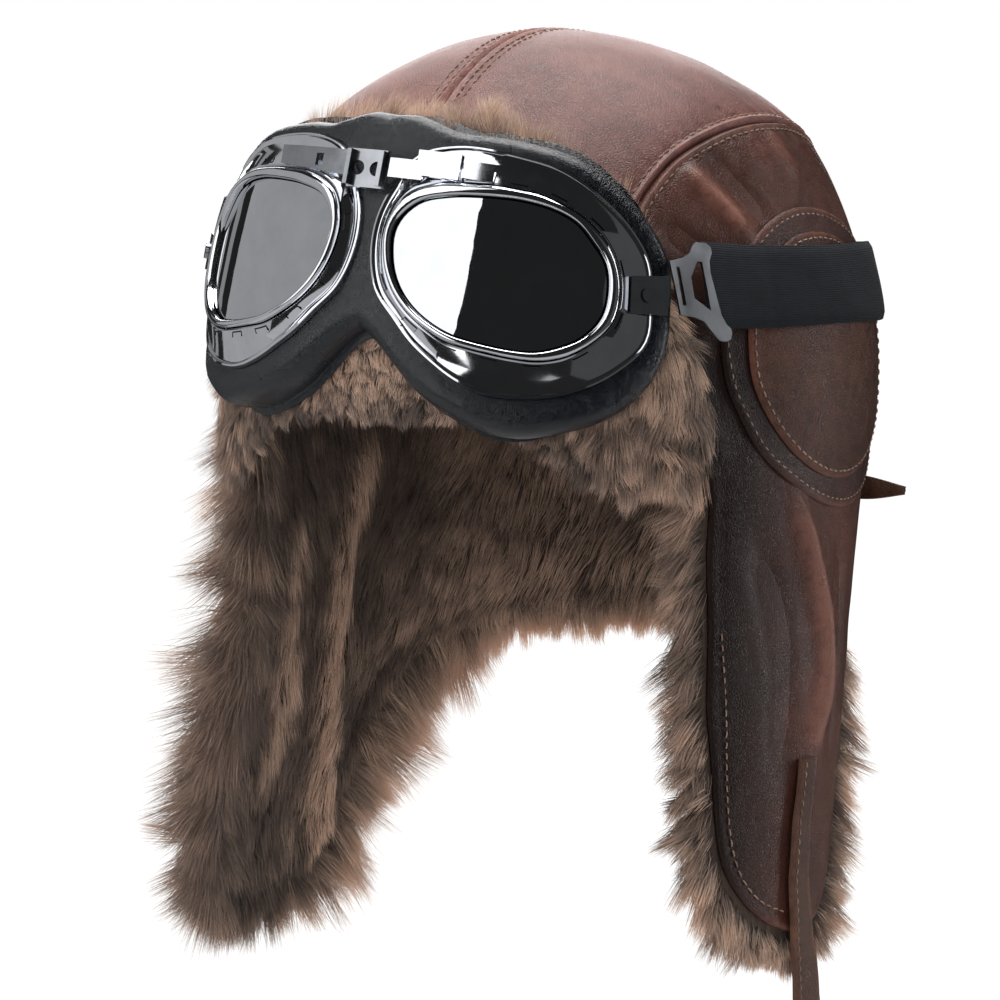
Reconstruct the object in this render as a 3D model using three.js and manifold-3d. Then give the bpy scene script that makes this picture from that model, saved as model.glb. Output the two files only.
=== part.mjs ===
import * as THREE from 'three';
import { mergeVertices } from 'three/addons/utils/BufferGeometryUtils.js';
import Module from 'manifold-3d';

const wasm = await Module();
wasm.setup();

// Aviator hat with goggles, millimetres. +Z is up, the face looks along -Y, the wearer's left is +X.
// The origin lies in the middle of the head opening at brow height.

// Driving dimensions
const GAP = 0.3;
const LEATHER = 1.5;
const LINING_BACK = 4.5;
const BROW_RIM = 1;
const CENTRE_GAP = 0.2;
const STRAP_HEIGHT = 25;
const STRAP_THICK = 1.4;
const STRAP_Z = 40;
const STRAP_RISE = 18;
const PATCH_FLAT = 1.2;
const PATCH_PUFF = 2.3;

// Outer leather surface: one row for each level, counted from the crown's top down to the flap ends
const FORM = [
  { z: 125, side: 0, mid: -4, len: 0 },
  { z: 121.5, side: 29, mid: -3, len: 29 },
  { z: 110, side: 58, mid: -2, len: 57 },
  { z: 92, side: 81, mid: 0, len: 82 },
  { z: 66, side: 94, mid: -1, len: 103 },
  { z: 34, side: 102.5, mid: -1, len: 112 },
  { z: 0, side: 104.5, mid: -1, len: 111 },
  { z: -38, side: 103.5, mid: -5, len: 105 },
  { z: -74, side: 104.5, mid: -11, len: 102 },
  { z: -110, side: 107.5, mid: -21, len: 99 },
  { z: -145, side: 110, mid: -30, len: 97 },
  { z: -180, side: 111, mid: -35, len: 95 },
  { z: -215, side: 111, mid: -38, len: 95 },
];
const RINGS = [0, 0.7, 1.5, 2.3, 3.1, 4, 5, 6, 7.2, 8.4, 9.6, 10.8, 11.8];
const SPOKES = 32;
const PATTERN_SCALE = 30;
const PATTERN_BULGE = 0.0005;
const PATTERN_DEPTH = 10;

function formRow(index) {
  if (index < 0) {
    const row = FORM[-index];
    return { z: row.z, side: -row.side, mid: row.mid, len: -row.len };
  }
  return FORM[Math.min(index, FORM.length - 1)];
}

// Smooth curve through the rows, for one column
function formColumn(level, key) {
  const i = Math.floor(level);
  const t = level - i;
  const [a, b, c, d] = [-1, 0, 1, 2].map((step) => formRow(i + step)[key]);
  return 0.5 * (2 * b + (c - a) * t + (2 * a - 5 * b + 4 * c - d) * t * t
    + (3 * b - a - 3 * c + d) * t * t * t);
}

function levelOf(z) {
  let low = 0;
  let high = FORM.length - 1;
  for (let step = 0; step < 40; step += 1) {
    const middle = (low + high) / 2;
    if (formColumn(middle, 'z') > z) low = middle;
    else high = middle;
  }
  return (low + high) / 2;
}

// A point of the outer surface: theta in degrees from the front towards the wearer's left
function surface(theta, level) {
  const angle = THREE.MathUtils.degToRad(theta);
  return new THREE.Vector3(
    formColumn(level, 'side') * Math.sin(angle),
    formColumn(level, 'mid') - formColumn(level, 'len') * Math.cos(angle),
    formColumn(level, 'z'),
  );
}

function surfaceNormal(theta, level) {
  if (level < 0.05) return new THREE.Vector3(0, 0, 1);
  const step = 0.02;
  const across = surface(theta + 1, level).sub(surface(theta - 1, level));
  const down = surface(theta, level + step).sub(surface(theta, level - step));
  return down.cross(across).normalize();
}

function offsetSurface(theta, level, offset) {
  return surface(theta, level).addScaledVector(surfaceNormal(theta, level), offset);
}

// Solids to and from the boolean library
function solidOf(geometry) {
  const bare = geometry.clone();
  bare.deleteAttribute('normal');
  bare.deleteAttribute('uv');
  const merged = mergeVertices(bare, 1e-4);
  return new wasm.Manifold(new wasm.Mesh({
    numProp: 3,
    vertProperties: merged.attributes.position.array,
    triVerts: new Uint32Array(merged.index.array),
  }));
}

function geometryOf(solid) {
  const mesh = solid.getMesh();
  const geometry = new THREE.BufferGeometry();
  geometry.setAttribute('position', new THREE.BufferAttribute(new Float32Array(mesh.vertProperties), 3));
  geometry.setIndex(new THREE.BufferAttribute(new Uint32Array(mesh.triVerts), 1));
  geometry.computeVertexNormals();
  return geometry;
}

function indexed(points, triangles) {
  const geometry = new THREE.BufferGeometry();
  const flat = points.flatMap((p) => [p.x, p.y, p.z]);
  geometry.setAttribute('position', new THREE.Float32BufferAttribute(flat, 3));
  geometry.setIndex(triangles);
  geometry.computeVertexNormals();
  return geometry;
}

// Swaps two corners of each triangle, for a bend that turned the faces inwards
function turnedOut(geometry) {
  const copy = geometry.clone();
  const position = copy.attributes.position;
  for (let i = 0; i < position.count; i += 3) {
    const [a, b] = [1, 2].map((k) => new THREE.Vector3().fromBufferAttribute(position, i + k));
    position.setXYZ(i + 1, b.x, b.y, b.z);
    position.setXYZ(i + 2, a.x, a.y, a.z);
  }
  copy.computeVertexNormals();
  return copy;
}

function mirrored(geometry) {
  const copy = geometry.index ? geometry.toNonIndexed() : geometry.clone();
  const position = copy.attributes.position;
  for (let i = 0; i < position.count; i += 3) {
    const corners = [0, 2, 1].map((k) => new THREE.Vector3().fromBufferAttribute(position, i + k));
    corners.forEach((corner, k) => position.setXYZ(i + k, -corner.x, corner.y, corner.z));
  }
  copy.computeVertexNormals();
  return copy;
}

// Flat cutting pattern of the hat: polar, with the crown's top in the middle
function patternPoint(theta, level) {
  const angle = THREE.MathUtils.degToRad(theta);
  const radius = level * PATTERN_SCALE;
  return new THREE.Vector2(radius * Math.sin(angle), -radius * Math.cos(angle));
}

function bulgeAt(x, y) {
  return PATTERN_BULGE * (x * x + y * y);
}

// The whole pattern as one thick disc, with the rings and spokes that carry the hat's curvature
function patternDisc() {
  const points = [];
  const triangles = [];
  [PATTERN_DEPTH, 0].forEach((height, side) => {
    const start = points.length;
    points.push(new THREE.Vector3(0, 0, height));
    for (let ring = 1; ring < RINGS.length; ring += 1) {
      for (let spoke = 0; spoke < SPOKES; spoke += 1) {
        const flat = patternPoint(360 * spoke / SPOKES, RINGS[ring]);
        points.push(new THREE.Vector3(flat.x, flat.y, height + bulgeAt(flat.x, flat.y)));
      }
    }
    const at = (ring, spoke) => (ring === 0 ? start : start + 1 + (ring - 1) * SPOKES + (spoke % SPOKES));
    const face = (a, b, c) => triangles.push(...(side === 0 ? [a, b, c] : [a, c, b]));
    for (let spoke = 0; spoke < SPOKES; spoke += 1) {
      face(start, at(1, spoke), at(1, spoke + 1));
      for (let ring = 1; ring < RINGS.length - 1; ring += 1) {
        face(at(ring, spoke), at(ring + 1, spoke), at(ring + 1, spoke + 1));
        face(at(ring, spoke), at(ring + 1, spoke + 1), at(ring, spoke + 1));
      }
    }
  });
  const count = points.length / 2;
  const rim = (side, spoke) => side * count + 1 + (RINGS.length - 2) * SPOKES + (spoke % SPOKES);
  for (let spoke = 0; spoke < SPOKES; spoke += 1) {
    triangles.push(rim(0, spoke), rim(1, spoke), rim(1, spoke + 1));
    triangles.push(rim(0, spoke), rim(1, spoke + 1), rim(0, spoke + 1));
  }
  return solidOf(indexed(points, triangles));
}
const DISC = patternDisc();

// An outline of [theta, z] corners becomes a smooth run of pattern points
function patternOutline(corners) {
  const out = [];
  corners.forEach(([theta, z], i) => {
    const [followingTheta, nextZ] = corners[(i + 1) % corners.length];
    const nextTheta = theta + THREE.MathUtils.euclideanModulo(followingTheta - theta + 180, 360) - 180;
    const level = z >= FORM[0].z ? 0 : levelOf(z);
    const nextLevel = nextZ >= FORM[0].z ? 0 : levelOf(nextZ);
    const along = level === 0 || nextLevel === 0 ? 0 : Math.abs(nextTheta - theta) / 10;
    const steps = Math.max(1, Math.round(along));
    for (let step = 0; step < steps; step += 1) {
      const t = step / steps;
      const point = patternPoint(theta + (nextTheta - theta) * t, level + (nextLevel - level) * t);
      out.push(point);
    }
  });
  return out;
}

// Moves an outline inwards by a distance, so that neighbouring pieces keep their gap
function inset(outline, distance) {
  const turn = Math.sign(THREE.ShapeUtils.area(outline));
  return outline.map((point, i) => {
    const before = outline[(i + outline.length - 1) % outline.length];
    const after = outline[(i + 1) % outline.length];
    const a = point.clone().sub(before).normalize();
    const b = after.clone().sub(point).normalize();
    const normal = new THREE.Vector2(-(a.y + b.y), a.x + b.x).normalize().multiplyScalar(turn);
    const lean = Math.max(0.4, Math.abs(normal.dot(new THREE.Vector2(-a.y, a.x))));
    return point.clone().addScaledVector(normal, distance / lean);
  });
}

// The corners of the disc's facet over a pattern point, each with its share of the point
function facetShares(x, y) {
  const wedge = 2 * Math.PI / SPOKES;
  const theta = Math.atan2(x, -y);
  const spoke = Math.floor(theta / wedge);
  const radius = Math.hypot(x, y) / PATTERN_SCALE;
  const turn = theta - spoke * wedge;
  const first = radius * Math.sin(wedge - turn) / Math.sin(wedge);
  const second = radius * Math.sin(turn) / Math.sin(wedge);
  let ring = RINGS.findIndex((level) => level > first + second) - 1;
  if (ring < 0) ring = RINGS.length - 2;
  const [near, far] = [RINGS[ring], RINGS[ring + 1]];
  const outward = (first + second - near) / (far - near);
  if (ring === 0) return [[0, 0, 1 - outward], [1, spoke, first / far], [1, spoke + 1, second / far]];
  if (first / near + second / far > 1) {
    const secondShare = second / far;
    const firstShare = outward - secondShare;
    return [[ring, spoke, 1 - outward], [ring + 1, spoke, firstShare], [ring + 1, spoke + 1, secondShare]];
  }
  const firstShare = first / near;
  const thirdShare = 1 - firstShare - outward;
  return [[ring, spoke, firstShare], [ring + 1, spoke + 1, outward], [ring, spoke + 1, thirdShare]];
}

const discCorners = new Map();
function discCorner(ring, spoke) {
  const key = ring * SPOKES + ((spoke + SPOKES) % SPOKES);
  if (!discCorners.has(key)) {
    const theta = 360 * spoke / SPOKES;
    discCorners.set(key, { point: surface(theta, RINGS[ring]), normal: surfaceNormal(theta, RINGS[ring]) });
  }
  return discCorners.get(key);
}

// A point over the faceted form, so that all pieces cut from the pattern lie parallel to each other
function facetPoint(x, y, offset) {
  const out = new THREE.Vector3();
  for (const [ring, spoke, share] of facetShares(x, y)) {
    const corner = discCorner(ring, spoke);
    out.addScaledVector(corner.point, share).addScaledVector(corner.normal, share * offset);
  }
  return out;
}

function polar(x, y) {
  return [THREE.MathUtils.radToDeg(Math.atan2(x, -y)), Math.hypot(x, y) / PATTERN_SCALE];
}

// Cuts a piece out of the pattern and wraps it on the form
// The low and high faces are offsets from the leather's face, as numbers or functions of angle and level
function wrappedPiece(outline, low, high) {
  const lowAt = typeof low === 'function' ? low : () => low;
  const highAt = typeof high === 'function' ? high : () => high;
  const knife = new THREE.ExtrudeGeometry(new THREE.Shape(outline), { depth: 400, bevelEnabled: false });
  knife.translate(0, 0, -100);
  const geometry = geometryOf(DISC.intersect(solidOf(knife)));
  const position = geometry.attributes.position;
  for (let i = 0; i < position.count; i += 1) {
    const [x, y] = [position.getX(i), position.getY(i)];
    const lift = facetShares(x, y).reduce((sum, [ring, , share]) => (
      sum + share * PATTERN_BULGE * (RINGS[ring] * PATTERN_SCALE) ** 2), 0);
    const upper = position.getZ(i) - lift > PATTERN_DEPTH / 2;
    const [theta, level] = polar(x, y);
    const point = facetPoint(x, y, upper ? highAt(theta, level) : lowAt(theta, level));
    position.setXYZ(i, point.x, point.y, point.z);
  }
  return geometry;
}

// Seam between the top of the crown and the side, from the brow over the ear to the back
const ARCH = [
  [38, BROW_RIM], [39, 12], [42, 38], [46, 58], [51, 72], [58, 83], [70, 90.5], [84, 94], [100, 94],
  [112, 91.5], [124, 88], [134, 84.5], [142, 81],
];
const BACK_TOP = [[142, 81], [155, 80], [168, 79], [180, 79]];
const SIDE_BACK = [[143, 60], [143.5, 20], [142.5, -30], [141, -76]];
const NECK_RIM = [[141, -76], [155, -73], [168, -72], [180, -72]];
const FLAP = [
  [141, -76], [131, -80], [123, -88], [118, -98], [115.5, -110], [114, -124], [112, -140], [108, -154],
  [101, -165], [92, -169], [83, -166], [76, -160], [71, -152], [67.5, -142], [65.5, -127], [64, -110],
  [62.5, -93], [62, -70], [61, -47], [61, -27], [59, -15], [52, -6], [38, BROW_RIM],
];

const PATCH_OUTER = [
  [66, 44], [72, 55], [80, 63], [89, 66], [100, 64], [112, 57], [122, 44], [128, 26], [129, 8], [126, -8],
  [119, -22], [110, -30], [100, -33], [90, -31], [80, -24], [71, -13], [65, 3], [63, 15], [63, 30],
];
const PATCH_INNER = [
  [73, 45], [78, 52], [85, 57], [95, 57], [104, 52], [112, 42], [117, 28], [118, 10], [116, -4], [110, -15],
  [103, -21], [95, -23], [87, -21], [79, -14], [73, -4], [69, 8], [68, 20], [69, 33],
];

// Outline of the fur lining from brow to nape, [theta, z]
const LINING_RIM = 3;
const LINING_EDGE = [
  [20, 2], [38, 0], [50, -7], [57, -18], [57.5, -34], [57.5, -52], [58, -70], [58.5, -90], [60, -110],
  [61.5, -127], [63.5, -143], [67, -156], [73, -167], [82, -174], [92, -177], [102, -173], [110, -162],
  [115, -146], [118, -128], [120, -112], [123, -101], [130, -90], [141, -83], [155, -79],
];
const FACE_LOCKS = { z: [-40, -74, -108, -140], theta: [70, 83, 96], drop: 24, rise: 6, halfWidth: 6 };
const EDGE_LOCK = 14;

// Outline of the turned-up brow flap from its lower edge to its top, [theta, z]
const BROW_EDGE = [
  [0, 0], [20, -1], [31, -10], [42, -21], [54, -21], [59, -10], [59, 8], [56, 23], [51.5, 37], [48, 51],
  [43.5, 63], [36, 74], [26, 82], [13, 88],
];
const BROW = { thick: 7.5, lift: 6, liftFrom: 5, liftTo: 4 };
const PUFF_CENTRE = { theta: 93, z: 18, halfTheta: 25, halfLevel: 1.15 };

// Goggles
const WRAP_RADIUS = 104;
const GOGGLE_FRONT = 127;
const GOGGLE_Z = 52;
const GOGGLE_SHIFT = 4.5;
const GOGGLE_LEAN = 13;
const GOGGLE_ROLL = 4;
const PAD_DEPTH = 26;
const EYE_U = 48;
// The pad's back is shaped by the brow flap over this window of [theta, z], cut this deep
const SEAT_WINDOW = [
  [-88, -60], [-44, -60], [0, -60], [44, -60], [88, -60],
  [88, 112], [44, 112], [0, 112], [-44, 112], [-88, 112],
];
const SEAT_DEPTH = -45;

// Goggle metalwork in face millimetres: [left, bottom, right, top] for rectangles
const METAL_BACK = 4.9;
const METAL_FACE = 6.2;
const ARM_RIGHT = [[-38, 27.6], [-30, 26.4], [-24, 26], [-8.2, 24.3], [-8.2, 32.6], [-38, 33.6]];
const ARM_RIGHT_SLOT = [-21.5, 27, -18.5, 31];
const ADJUSTER = [-7.6, 20.8, 5.4, 33.2];
const ADJUSTER_HOLES = { across: [-4.4, 2.4], up: 27, radius: 2.4 };
const ADJUSTER_FLANGES = { left: [-7.6, 3.9], width: 1.5, bottom: 21.3, top: 32.7, back: 5.5, face: 8.6 };
const ARM_LEFT = [6, 25, 18, 31.2];
const ARM_LEFT_BLOCK = [16.5, 26.2, 30, 34.4];
const BLOCK_FACE = 8;
const NAME_PLATE = [30.8, 27.4, 40, 33];
const NAME_PLATE_FACE = 6.8;
const LUG = [[86.5, 6.4], [99, 9], [100, -3.6], [88, -5.2]];
const LUG_BACK = 4.5;
const LUG_FACE = 5.7;
const RIVET = { across: 93, up: 1.6, hole: 2.2, radius: 1.9, back: 4.3, face: 6.8, sides: 8 };
// Radii of one eye's outlines from its middle; the angle starts at the temple and passes over the top
const EYE = [
  { angle: 0, lens: 32, bezel: 36, plate: 48, pad: 57.5 },
  { angle: 15, lens: 31, bezel: 34.5, plate: 46.5, pad: 56 },
  { angle: 30, lens: 28.5, bezel: 32.5, plate: 43, pad: 51.5 },
  { angle: 45, lens: 27, bezel: 30, plate: 40, pad: 47.5 },
  { angle: 60, lens: 25, bezel: 28, plate: 38.5, pad: 45.5 },
  { angle: 75, lens: 23.5, bezel: 27, plate: 38, pad: 44 },
  { angle: 90, lens: 23, bezel: 26.5, plate: 38, pad: 43.5 },
  { angle: 105, lens: 23.5, bezel: 27.5, plate: 40, pad: 45.5 },
  { angle: 120, lens: 25.5, bezel: 30, plate: 44, pad: 50.5 },
  { angle: 135, lens: 29.5, bezel: 35, plate: 48, pad: 67 },
  { angle: 150, lens: 35, bezel: 40, plate: 47.5, pad: 66.5 },
  { angle: 165, lens: 37.5, bezel: 40.5, plate: 46.8, pad: 60 },
  { angle: 180, lens: 35.7, bezel: 38.5, plate: 45, pad: 58 },
  { angle: 195, lens: 33, bezel: 35.8, plate: 42.5, pad: 58.5 },
  { angle: 210, lens: 30, bezel: 32.8, plate: 38.5, pad: 50 },
  { angle: 225, lens: 27.3, bezel: 30, plate: 37, pad: 47 },
  { angle: 240, lens: 25.3, bezel: 28.3, plate: 36.5, pad: 47 },
  { angle: 255, lens: 23.8, bezel: 26.6, plate: 37.5, pad: 47.5 },
  { angle: 270, lens: 23.5, bezel: 26.3, plate: 39, pad: 49.5 },
  { angle: 285, lens: 24.5, bezel: 27.5, plate: 40, pad: 52 },
  { angle: 300, lens: 26.5, bezel: 30, plate: 42, pad: 53.5 },
  { angle: 315, lens: 28.5, bezel: 32.5, plate: 44.5, pad: 57 },
  { angle: 330, lens: 31, bezel: 34.5, plate: 47.5, pad: 60 },
  { angle: 345, lens: 32.5, bezel: 36.5, plate: 50.5, pad: 60.5 },
];

// Strap's distance from the leather along its way from the goggles to the back
const STRAP_PATH = [
  { theta: 45, left: 25, right: 15 },
  { theta: 51, left: 18, right: 11 },
  { theta: 55, left: 14.5, right: 9.8 },
  { theta: 58, left: 12.2, right: 9 },
  { theta: 62, left: 9.2, right: 8 },
  { theta: 66, left: 7, right: 6.6 },
  { theta: 72, left: 5, right: 5 },
  { theta: 108, left: 4.8, right: 4.8 },
  { theta: 120, left: 3.9, right: 3.9 },
  { theta: 131, left: 2.6, right: 2.6 },
  { theta: 138, left: 0.9, right: 0.9 },
  { theta: 181, left: 0.7, right: 0.7 },
];
const STRAP_START = 56.5;
const STRAP_END = 302.5;
const BUCKLE_THETA = 51;
const BUCKLE_MM_PER_DEGREE = 2.1;
const BUCKLE_BACK = 1.8;
const BUCKLE_FACE = 3.1;
const BUCKLE = [
  [-4, 5.4], [2, 6.6], [5.2, 8.2], [6.8, 11], [12.6, 11.4], [14.6, 9.6], [12.8, 4.4], [16, -8], [20, -12.4],
  [20.4, -14.6], [18.6, -16.2], [14.4, -16.3], [8, -10.2], [-1, -9],
];
const BUCKLE_SLOT = [[-1.6, 4], [-0.2, 4], [1.5, -6.5], [0.1, -6.5]];
const BUCKLE_HOLE = [[7.4, 6], [9.6, 6], [11.6, -7.8], [5, -4.5], [4.2, 1.3]];

const CHIN_THICK = 2.6;
const CHIN_CLEAR = 0.6;
const CHIN_PLUMB_FROM = -168;
const CHIN = [
  { z: -113, y: -24, width: 9 }, { z: -124, y: -28, width: 9 }, { z: -140, y: -33, width: 9.5 },
  { z: -155, y: -35, width: 10.5 }, { z: -168, y: -34, width: 12 }, { z: -180, y: -32, width: 14 },
  { z: -192, y: -30, width: 15 }, { z: -199, y: -29, width: 13 },
];
const NAPE_THICK = 1.6;
const NAPE = [
  { theta: 154, z: -31, offset: 0.3, height: 9 }, { theta: 146, z: -31, offset: 0.3, height: 9 },
  { theta: 140, z: -30.5, offset: 2, height: 9 }, { theta: 134.5, z: -30, offset: 8, height: 7.5 },
  { theta: 131, z: -29, offset: 17, height: 3 },
];

// Materials
function finish(color, roughness, metalness = 0) {
  return () => new THREE.MeshStandardMaterial({ color, roughness, metalness });
}
const leather = finish(0x4a2a22, 0.55);
const leatherWorn = finish(0x5d352a, 0.5);
const fur = finish(0x6f523e, 0.95);
const padding = finish(0x16181c, 0.45);
const chrome = finish(0xc9ccd0, 0.12, 1);
const steel = finish(0x6e7073, 0.35, 0.9);
const mirrorLens = finish(0x8a8d90, 0.05, 0.6);
const elastic = finish(0x15171d, 0.85);

const hat = new THREE.Group();
hat.name = 'aviator_hat';

function place(parent, name, geometry, material) {
  const mesh = new THREE.Mesh(geometry, material());
  mesh.name = name;
  parent.add(mesh);
  return mesh;
}

function placePair(name, geometry, material) {
  place(hat, name + '_left', geometry, material);
  place(hat, name + '_right', mirrored(geometry), material);
}

// Leather shell
const crownOutline = patternOutline([[0, FORM[0].z], [0, BROW_RIM], ...ARCH, ...BACK_TOP.slice(1)]);
placePair('crown_top', wrappedPiece(inset(crownOutline, CENTRE_GAP), -LEATHER, 0), leatherWorn);
const sideOutline = patternOutline([...ARCH, ...SIDE_BACK, ...FLAP.slice(1, -1)]);
placePair('side_panel', wrappedPiece(inset(sideOutline, CENTRE_GAP), -LEATHER, 0), leather);

function acrossTheBack(corners) {
  return corners.map(([theta, z]) => [360 - theta, z]).reverse();
}
const backHalf = [...BACK_TOP.slice(0, -1).reverse(), ...SIDE_BACK.slice(0, -1), ...NECK_RIM.slice(0, -1)];
const backOutline = patternOutline([BACK_TOP[3], ...backHalf, NECK_RIM[3], ...acrossTheBack(backHalf)]);
place(hat, 'back_panel', wrappedPiece(inset(backOutline, CENTRE_GAP), -LEATHER, 0), leather);

// Ear patches: a flat teardrop with a puffed oval on it
const patchTop = GAP + PATCH_FLAT;
placePair('ear_patch', wrappedPiece(patternOutline(PATCH_OUTER), GAP, patchTop), leather);
function puffAt(theta, level) {
  const away = Math.hypot((theta - PUFF_CENTRE.theta) / PUFF_CENTRE.halfTheta,
    (level - levelOf(PUFF_CENTRE.z)) / PUFF_CENTRE.halfLevel);
  return patchTop + GAP + 1 + (PATCH_PUFF - 1) * Math.max(0, 1 - away * away);
}
placePair('ear_pad', wrappedPiece(patternOutline(PATCH_INNER), patchTop + GAP, puffAt), leatherWorn);

// A tapering lock of fur from a base point to its tip
function lock(base, tip, acrossDirection, halfWidth, halfThick) {
  const along = tip.clone().sub(base).normalize();
  const across = acrossDirection.clone().addScaledVector(along, -acrossDirection.dot(along)).normalize();
  const through = along.clone().cross(across);
  const corner = (a, b) => base.clone()
    .addScaledVector(across, a * halfWidth)
    .addScaledVector(through, b * halfThick);
  const points = [corner(-1, 0), corner(0, -1), corner(1, 0), corner(0, 1), tip];
  return solidOf(indexed(points, [0, 1, 4, 1, 2, 4, 2, 3, 4, 3, 0, 4, 0, 3, 2, 0, 2, 1]));
}

// A repeatable spread between -1 and 1, so that no two neighbouring locks are alike
function uneven(index) {
  return Math.sin(index * 12.9898) * Math.cos(index * 4.1414);
}

// Locks along a run of [theta, z] corners, each pointing by the run's own shift in degrees and millimetres
function edgeLocks(run, spacing) {
  const made = [];
  run.rows.slice(1).forEach((to, i) => {
    const from = run.rows[i];
    const start = offsetSurface(from[0], levelOf(from[1]), run.offset);
    const length = start.distanceTo(offsetSurface(to[0], levelOf(to[1]), run.offset));
    const count = Math.max(1, Math.round(length / spacing));
    for (let step = 0; step < count; step += 1) {
      const t = (step + 0.5) / count;
      const [theta, z] = [from[0] + (to[0] - from[0]) * t, from[1] + (to[1] - from[1]) * t];
      const reach = 1 + 0.25 * uneven(i * 31 + step * 7 + run.seed);
      const base = offsetSurface(theta, levelOf(z), run.offset);
      const tip = offsetSurface(theta + run.turn * reach, levelOf(z + run.drop * reach), run.tipOffset);
      const across = offsetSurface(to[0], levelOf(to[1]), run.offset).sub(start);
      made.push(lock(base, tip, across, spacing * 0.62, run.thick));
    }
  });
  return made;
}

function fuse(backing, locks) {
  return geometryOf(locks.reduce((sum, next) => sum.add(next), solidOf(backing)));
}

// Fur lining of the whole hat: a backing under the leather, with locks round its edge and on the flaps
const liningFace = -(LEATHER + GAP);
const liningInside = liningFace - LINING_BACK;
const liningHalf = [...LINING_EDGE, [180, -78]];
const liningOutline = patternOutline([[0, LINING_RIM], ...liningHalf, ...acrossTheBack(LINING_EDGE)]);
const lining = wrappedPiece(liningOutline, liningInside, liningFace);
const liningMiddle = (liningFace + liningInside) / 2;
const neckEdge = LINING_EDGE.slice(19, 24).concat([[180, -78]]);
const liningRuns = [
  { rows: LINING_EDGE.slice(3, 11), turn: -5.5, drop: -4, tipOffset: -7, seed: 1 },
  { rows: LINING_EDGE.slice(10, 16), turn: 0, drop: -10, tipOffset: -5, seed: 2 },
  { rows: LINING_EDGE.slice(15, 20), turn: 4, drop: -6, tipOffset: -6, seed: 3 },
  { rows: neckEdge, turn: 0, drop: -11, tipOffset: -8, seed: 4 },
].map((run) => ({ ...run, offset: liningMiddle, thick: 2.1 }));
const faceLocks = [];
for (const z of FACE_LOCKS.z) {
  for (const theta of FACE_LOCKS.theta) {
    const base = offsetSurface(theta, levelOf(z), liningInside + 1);
    const tip = offsetSurface(theta - 1, levelOf(z - FACE_LOCKS.drop), liningInside - FACE_LOCKS.rise);
    faceLocks.push(lock(base, tip, new THREE.Vector3(0, 1, 0), FACE_LOCKS.halfWidth, 3));
  }
}
const liningLocks = [...liningRuns.flatMap((run) => edgeLocks(run, EDGE_LOCK)), ...faceLocks];
const otherSide = liningLocks.map((solid) => solidOf(mirrored(geometryOf(solid))));
place(hat, 'fur_lining', fuse(lining, [...liningLocks, ...otherSide]), fur);

// Turned-up brow flap, fur side out
function browFace(theta, level) {
  const rise = (BROW.liftFrom - level) / (BROW.liftFrom - BROW.liftTo);
  return BROW.thick + BROW.lift * THREE.MathUtils.clamp(rise, 0, 1);
}
const browRightEdge = acrossTheBack(BROW_EDGE).map(([theta, z]) => [theta - 360, z]);
const browOutline = patternOutline([...BROW_EDGE, ...browRightEdge]);
const browBacking = wrappedPiece(browOutline, GAP, browFace);
const browTop = BROW_EDGE.slice(10).concat([[0, 90]]);
const browLocks = [
  { rows: browTop, turn: 1, drop: 9, offset: 5, tipOffset: 9, thick: 2.4, seed: 5 },
  { rows: BROW_EDGE.slice(1, 5), turn: 2, drop: -9, offset: 4, tipOffset: 3.6, thick: 2.4, seed: 6 },
].flatMap((run) => edgeLocks(run, EDGE_LOCK));
const browOther = browLocks.map((solid) => solidOf(mirrored(geometryOf(solid))));
place(hat, 'brow_flap', fuse(browBacking, [...browLocks, ...browOther]), fur);

// Goggles: a frame of their own, wrapped on a cylinder; u runs round the face, v up, w out of it
const goggles = new THREE.Group();
goggles.name = 'goggles';
goggles.position.set(GOGGLE_SHIFT, -GOGGLE_FRONT, GOGGLE_Z);
goggles.rotation.set(THREE.MathUtils.degToRad(-GOGGLE_LEAN), THREE.MathUtils.degToRad(GOGGLE_ROLL), 0);
goggles.updateMatrixWorld(true);
hat.add(goggles);

function wrap({ u, v, w }) {
  const angle = u / WRAP_RADIUS;
  const radius = WRAP_RADIUS + w;
  return new THREE.Vector3(radius * Math.sin(angle), WRAP_RADIUS - radius * Math.cos(angle), v);
}

function eyeRadius(angle, key) {
  const count = EYE.length;
  const place0 = angle / (360 / count);
  const i = Math.floor(place0);
  const t = place0 - i;
  const [a, b, c, d] = [-1, 0, 1, 2].map((step) => EYE[(i + step + count) % count][key]);
  return 0.5 * (2 * b + (c - a) * t + (2 * a - 5 * b + 4 * c - d) * t * t
    + (3 * b - a - 3 * c + d) * t * t * t);
}

function eyePoint(angle, radius, w) {
  const turn = THREE.MathUtils.degToRad(angle);
  return { u: EYE_U + radius * Math.cos(turn), v: radius * Math.sin(turn), w };
}

// Rows of points joined into one closed skin; rows close on themselves, and the run of rows can too
function loft(rows, ringed) {
  const width = rows[0].length;
  const triangles = [];
  const last = ringed ? rows.length : rows.length - 1;
  for (let i = 0; i < last; i += 1) {
    for (let j = 0; j < width; j += 1) {
      const [a, b] = [i * width + j, i * width + ((j + 1) % width)];
      const following = ((i + 1) % rows.length) * width;
      const [c, d] = [following + j, following + ((j + 1) % width)];
      triangles.push(a, b, d, a, d, c);
    }
  }
  if (!ringed) {
    for (let j = 1; j < width - 1; j += 1) {
      triangles.push(0, j + 1, j);
      const end = (rows.length - 1) * width;
      triangles.push(end, end + j, end + j + 1);
    }
  }
  const made = indexed(rows.flat(), triangles);
  if (solidOf(made).volume() > 0) return made;
  for (let i = 0; i < triangles.length; i += 3) {
    const second = triangles[i + 1];
    triangles[i + 1] = triangles[i + 2];
    triangles[i + 2] = second;
  }
  return indexed(rows.flat(), triangles);
}

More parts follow.
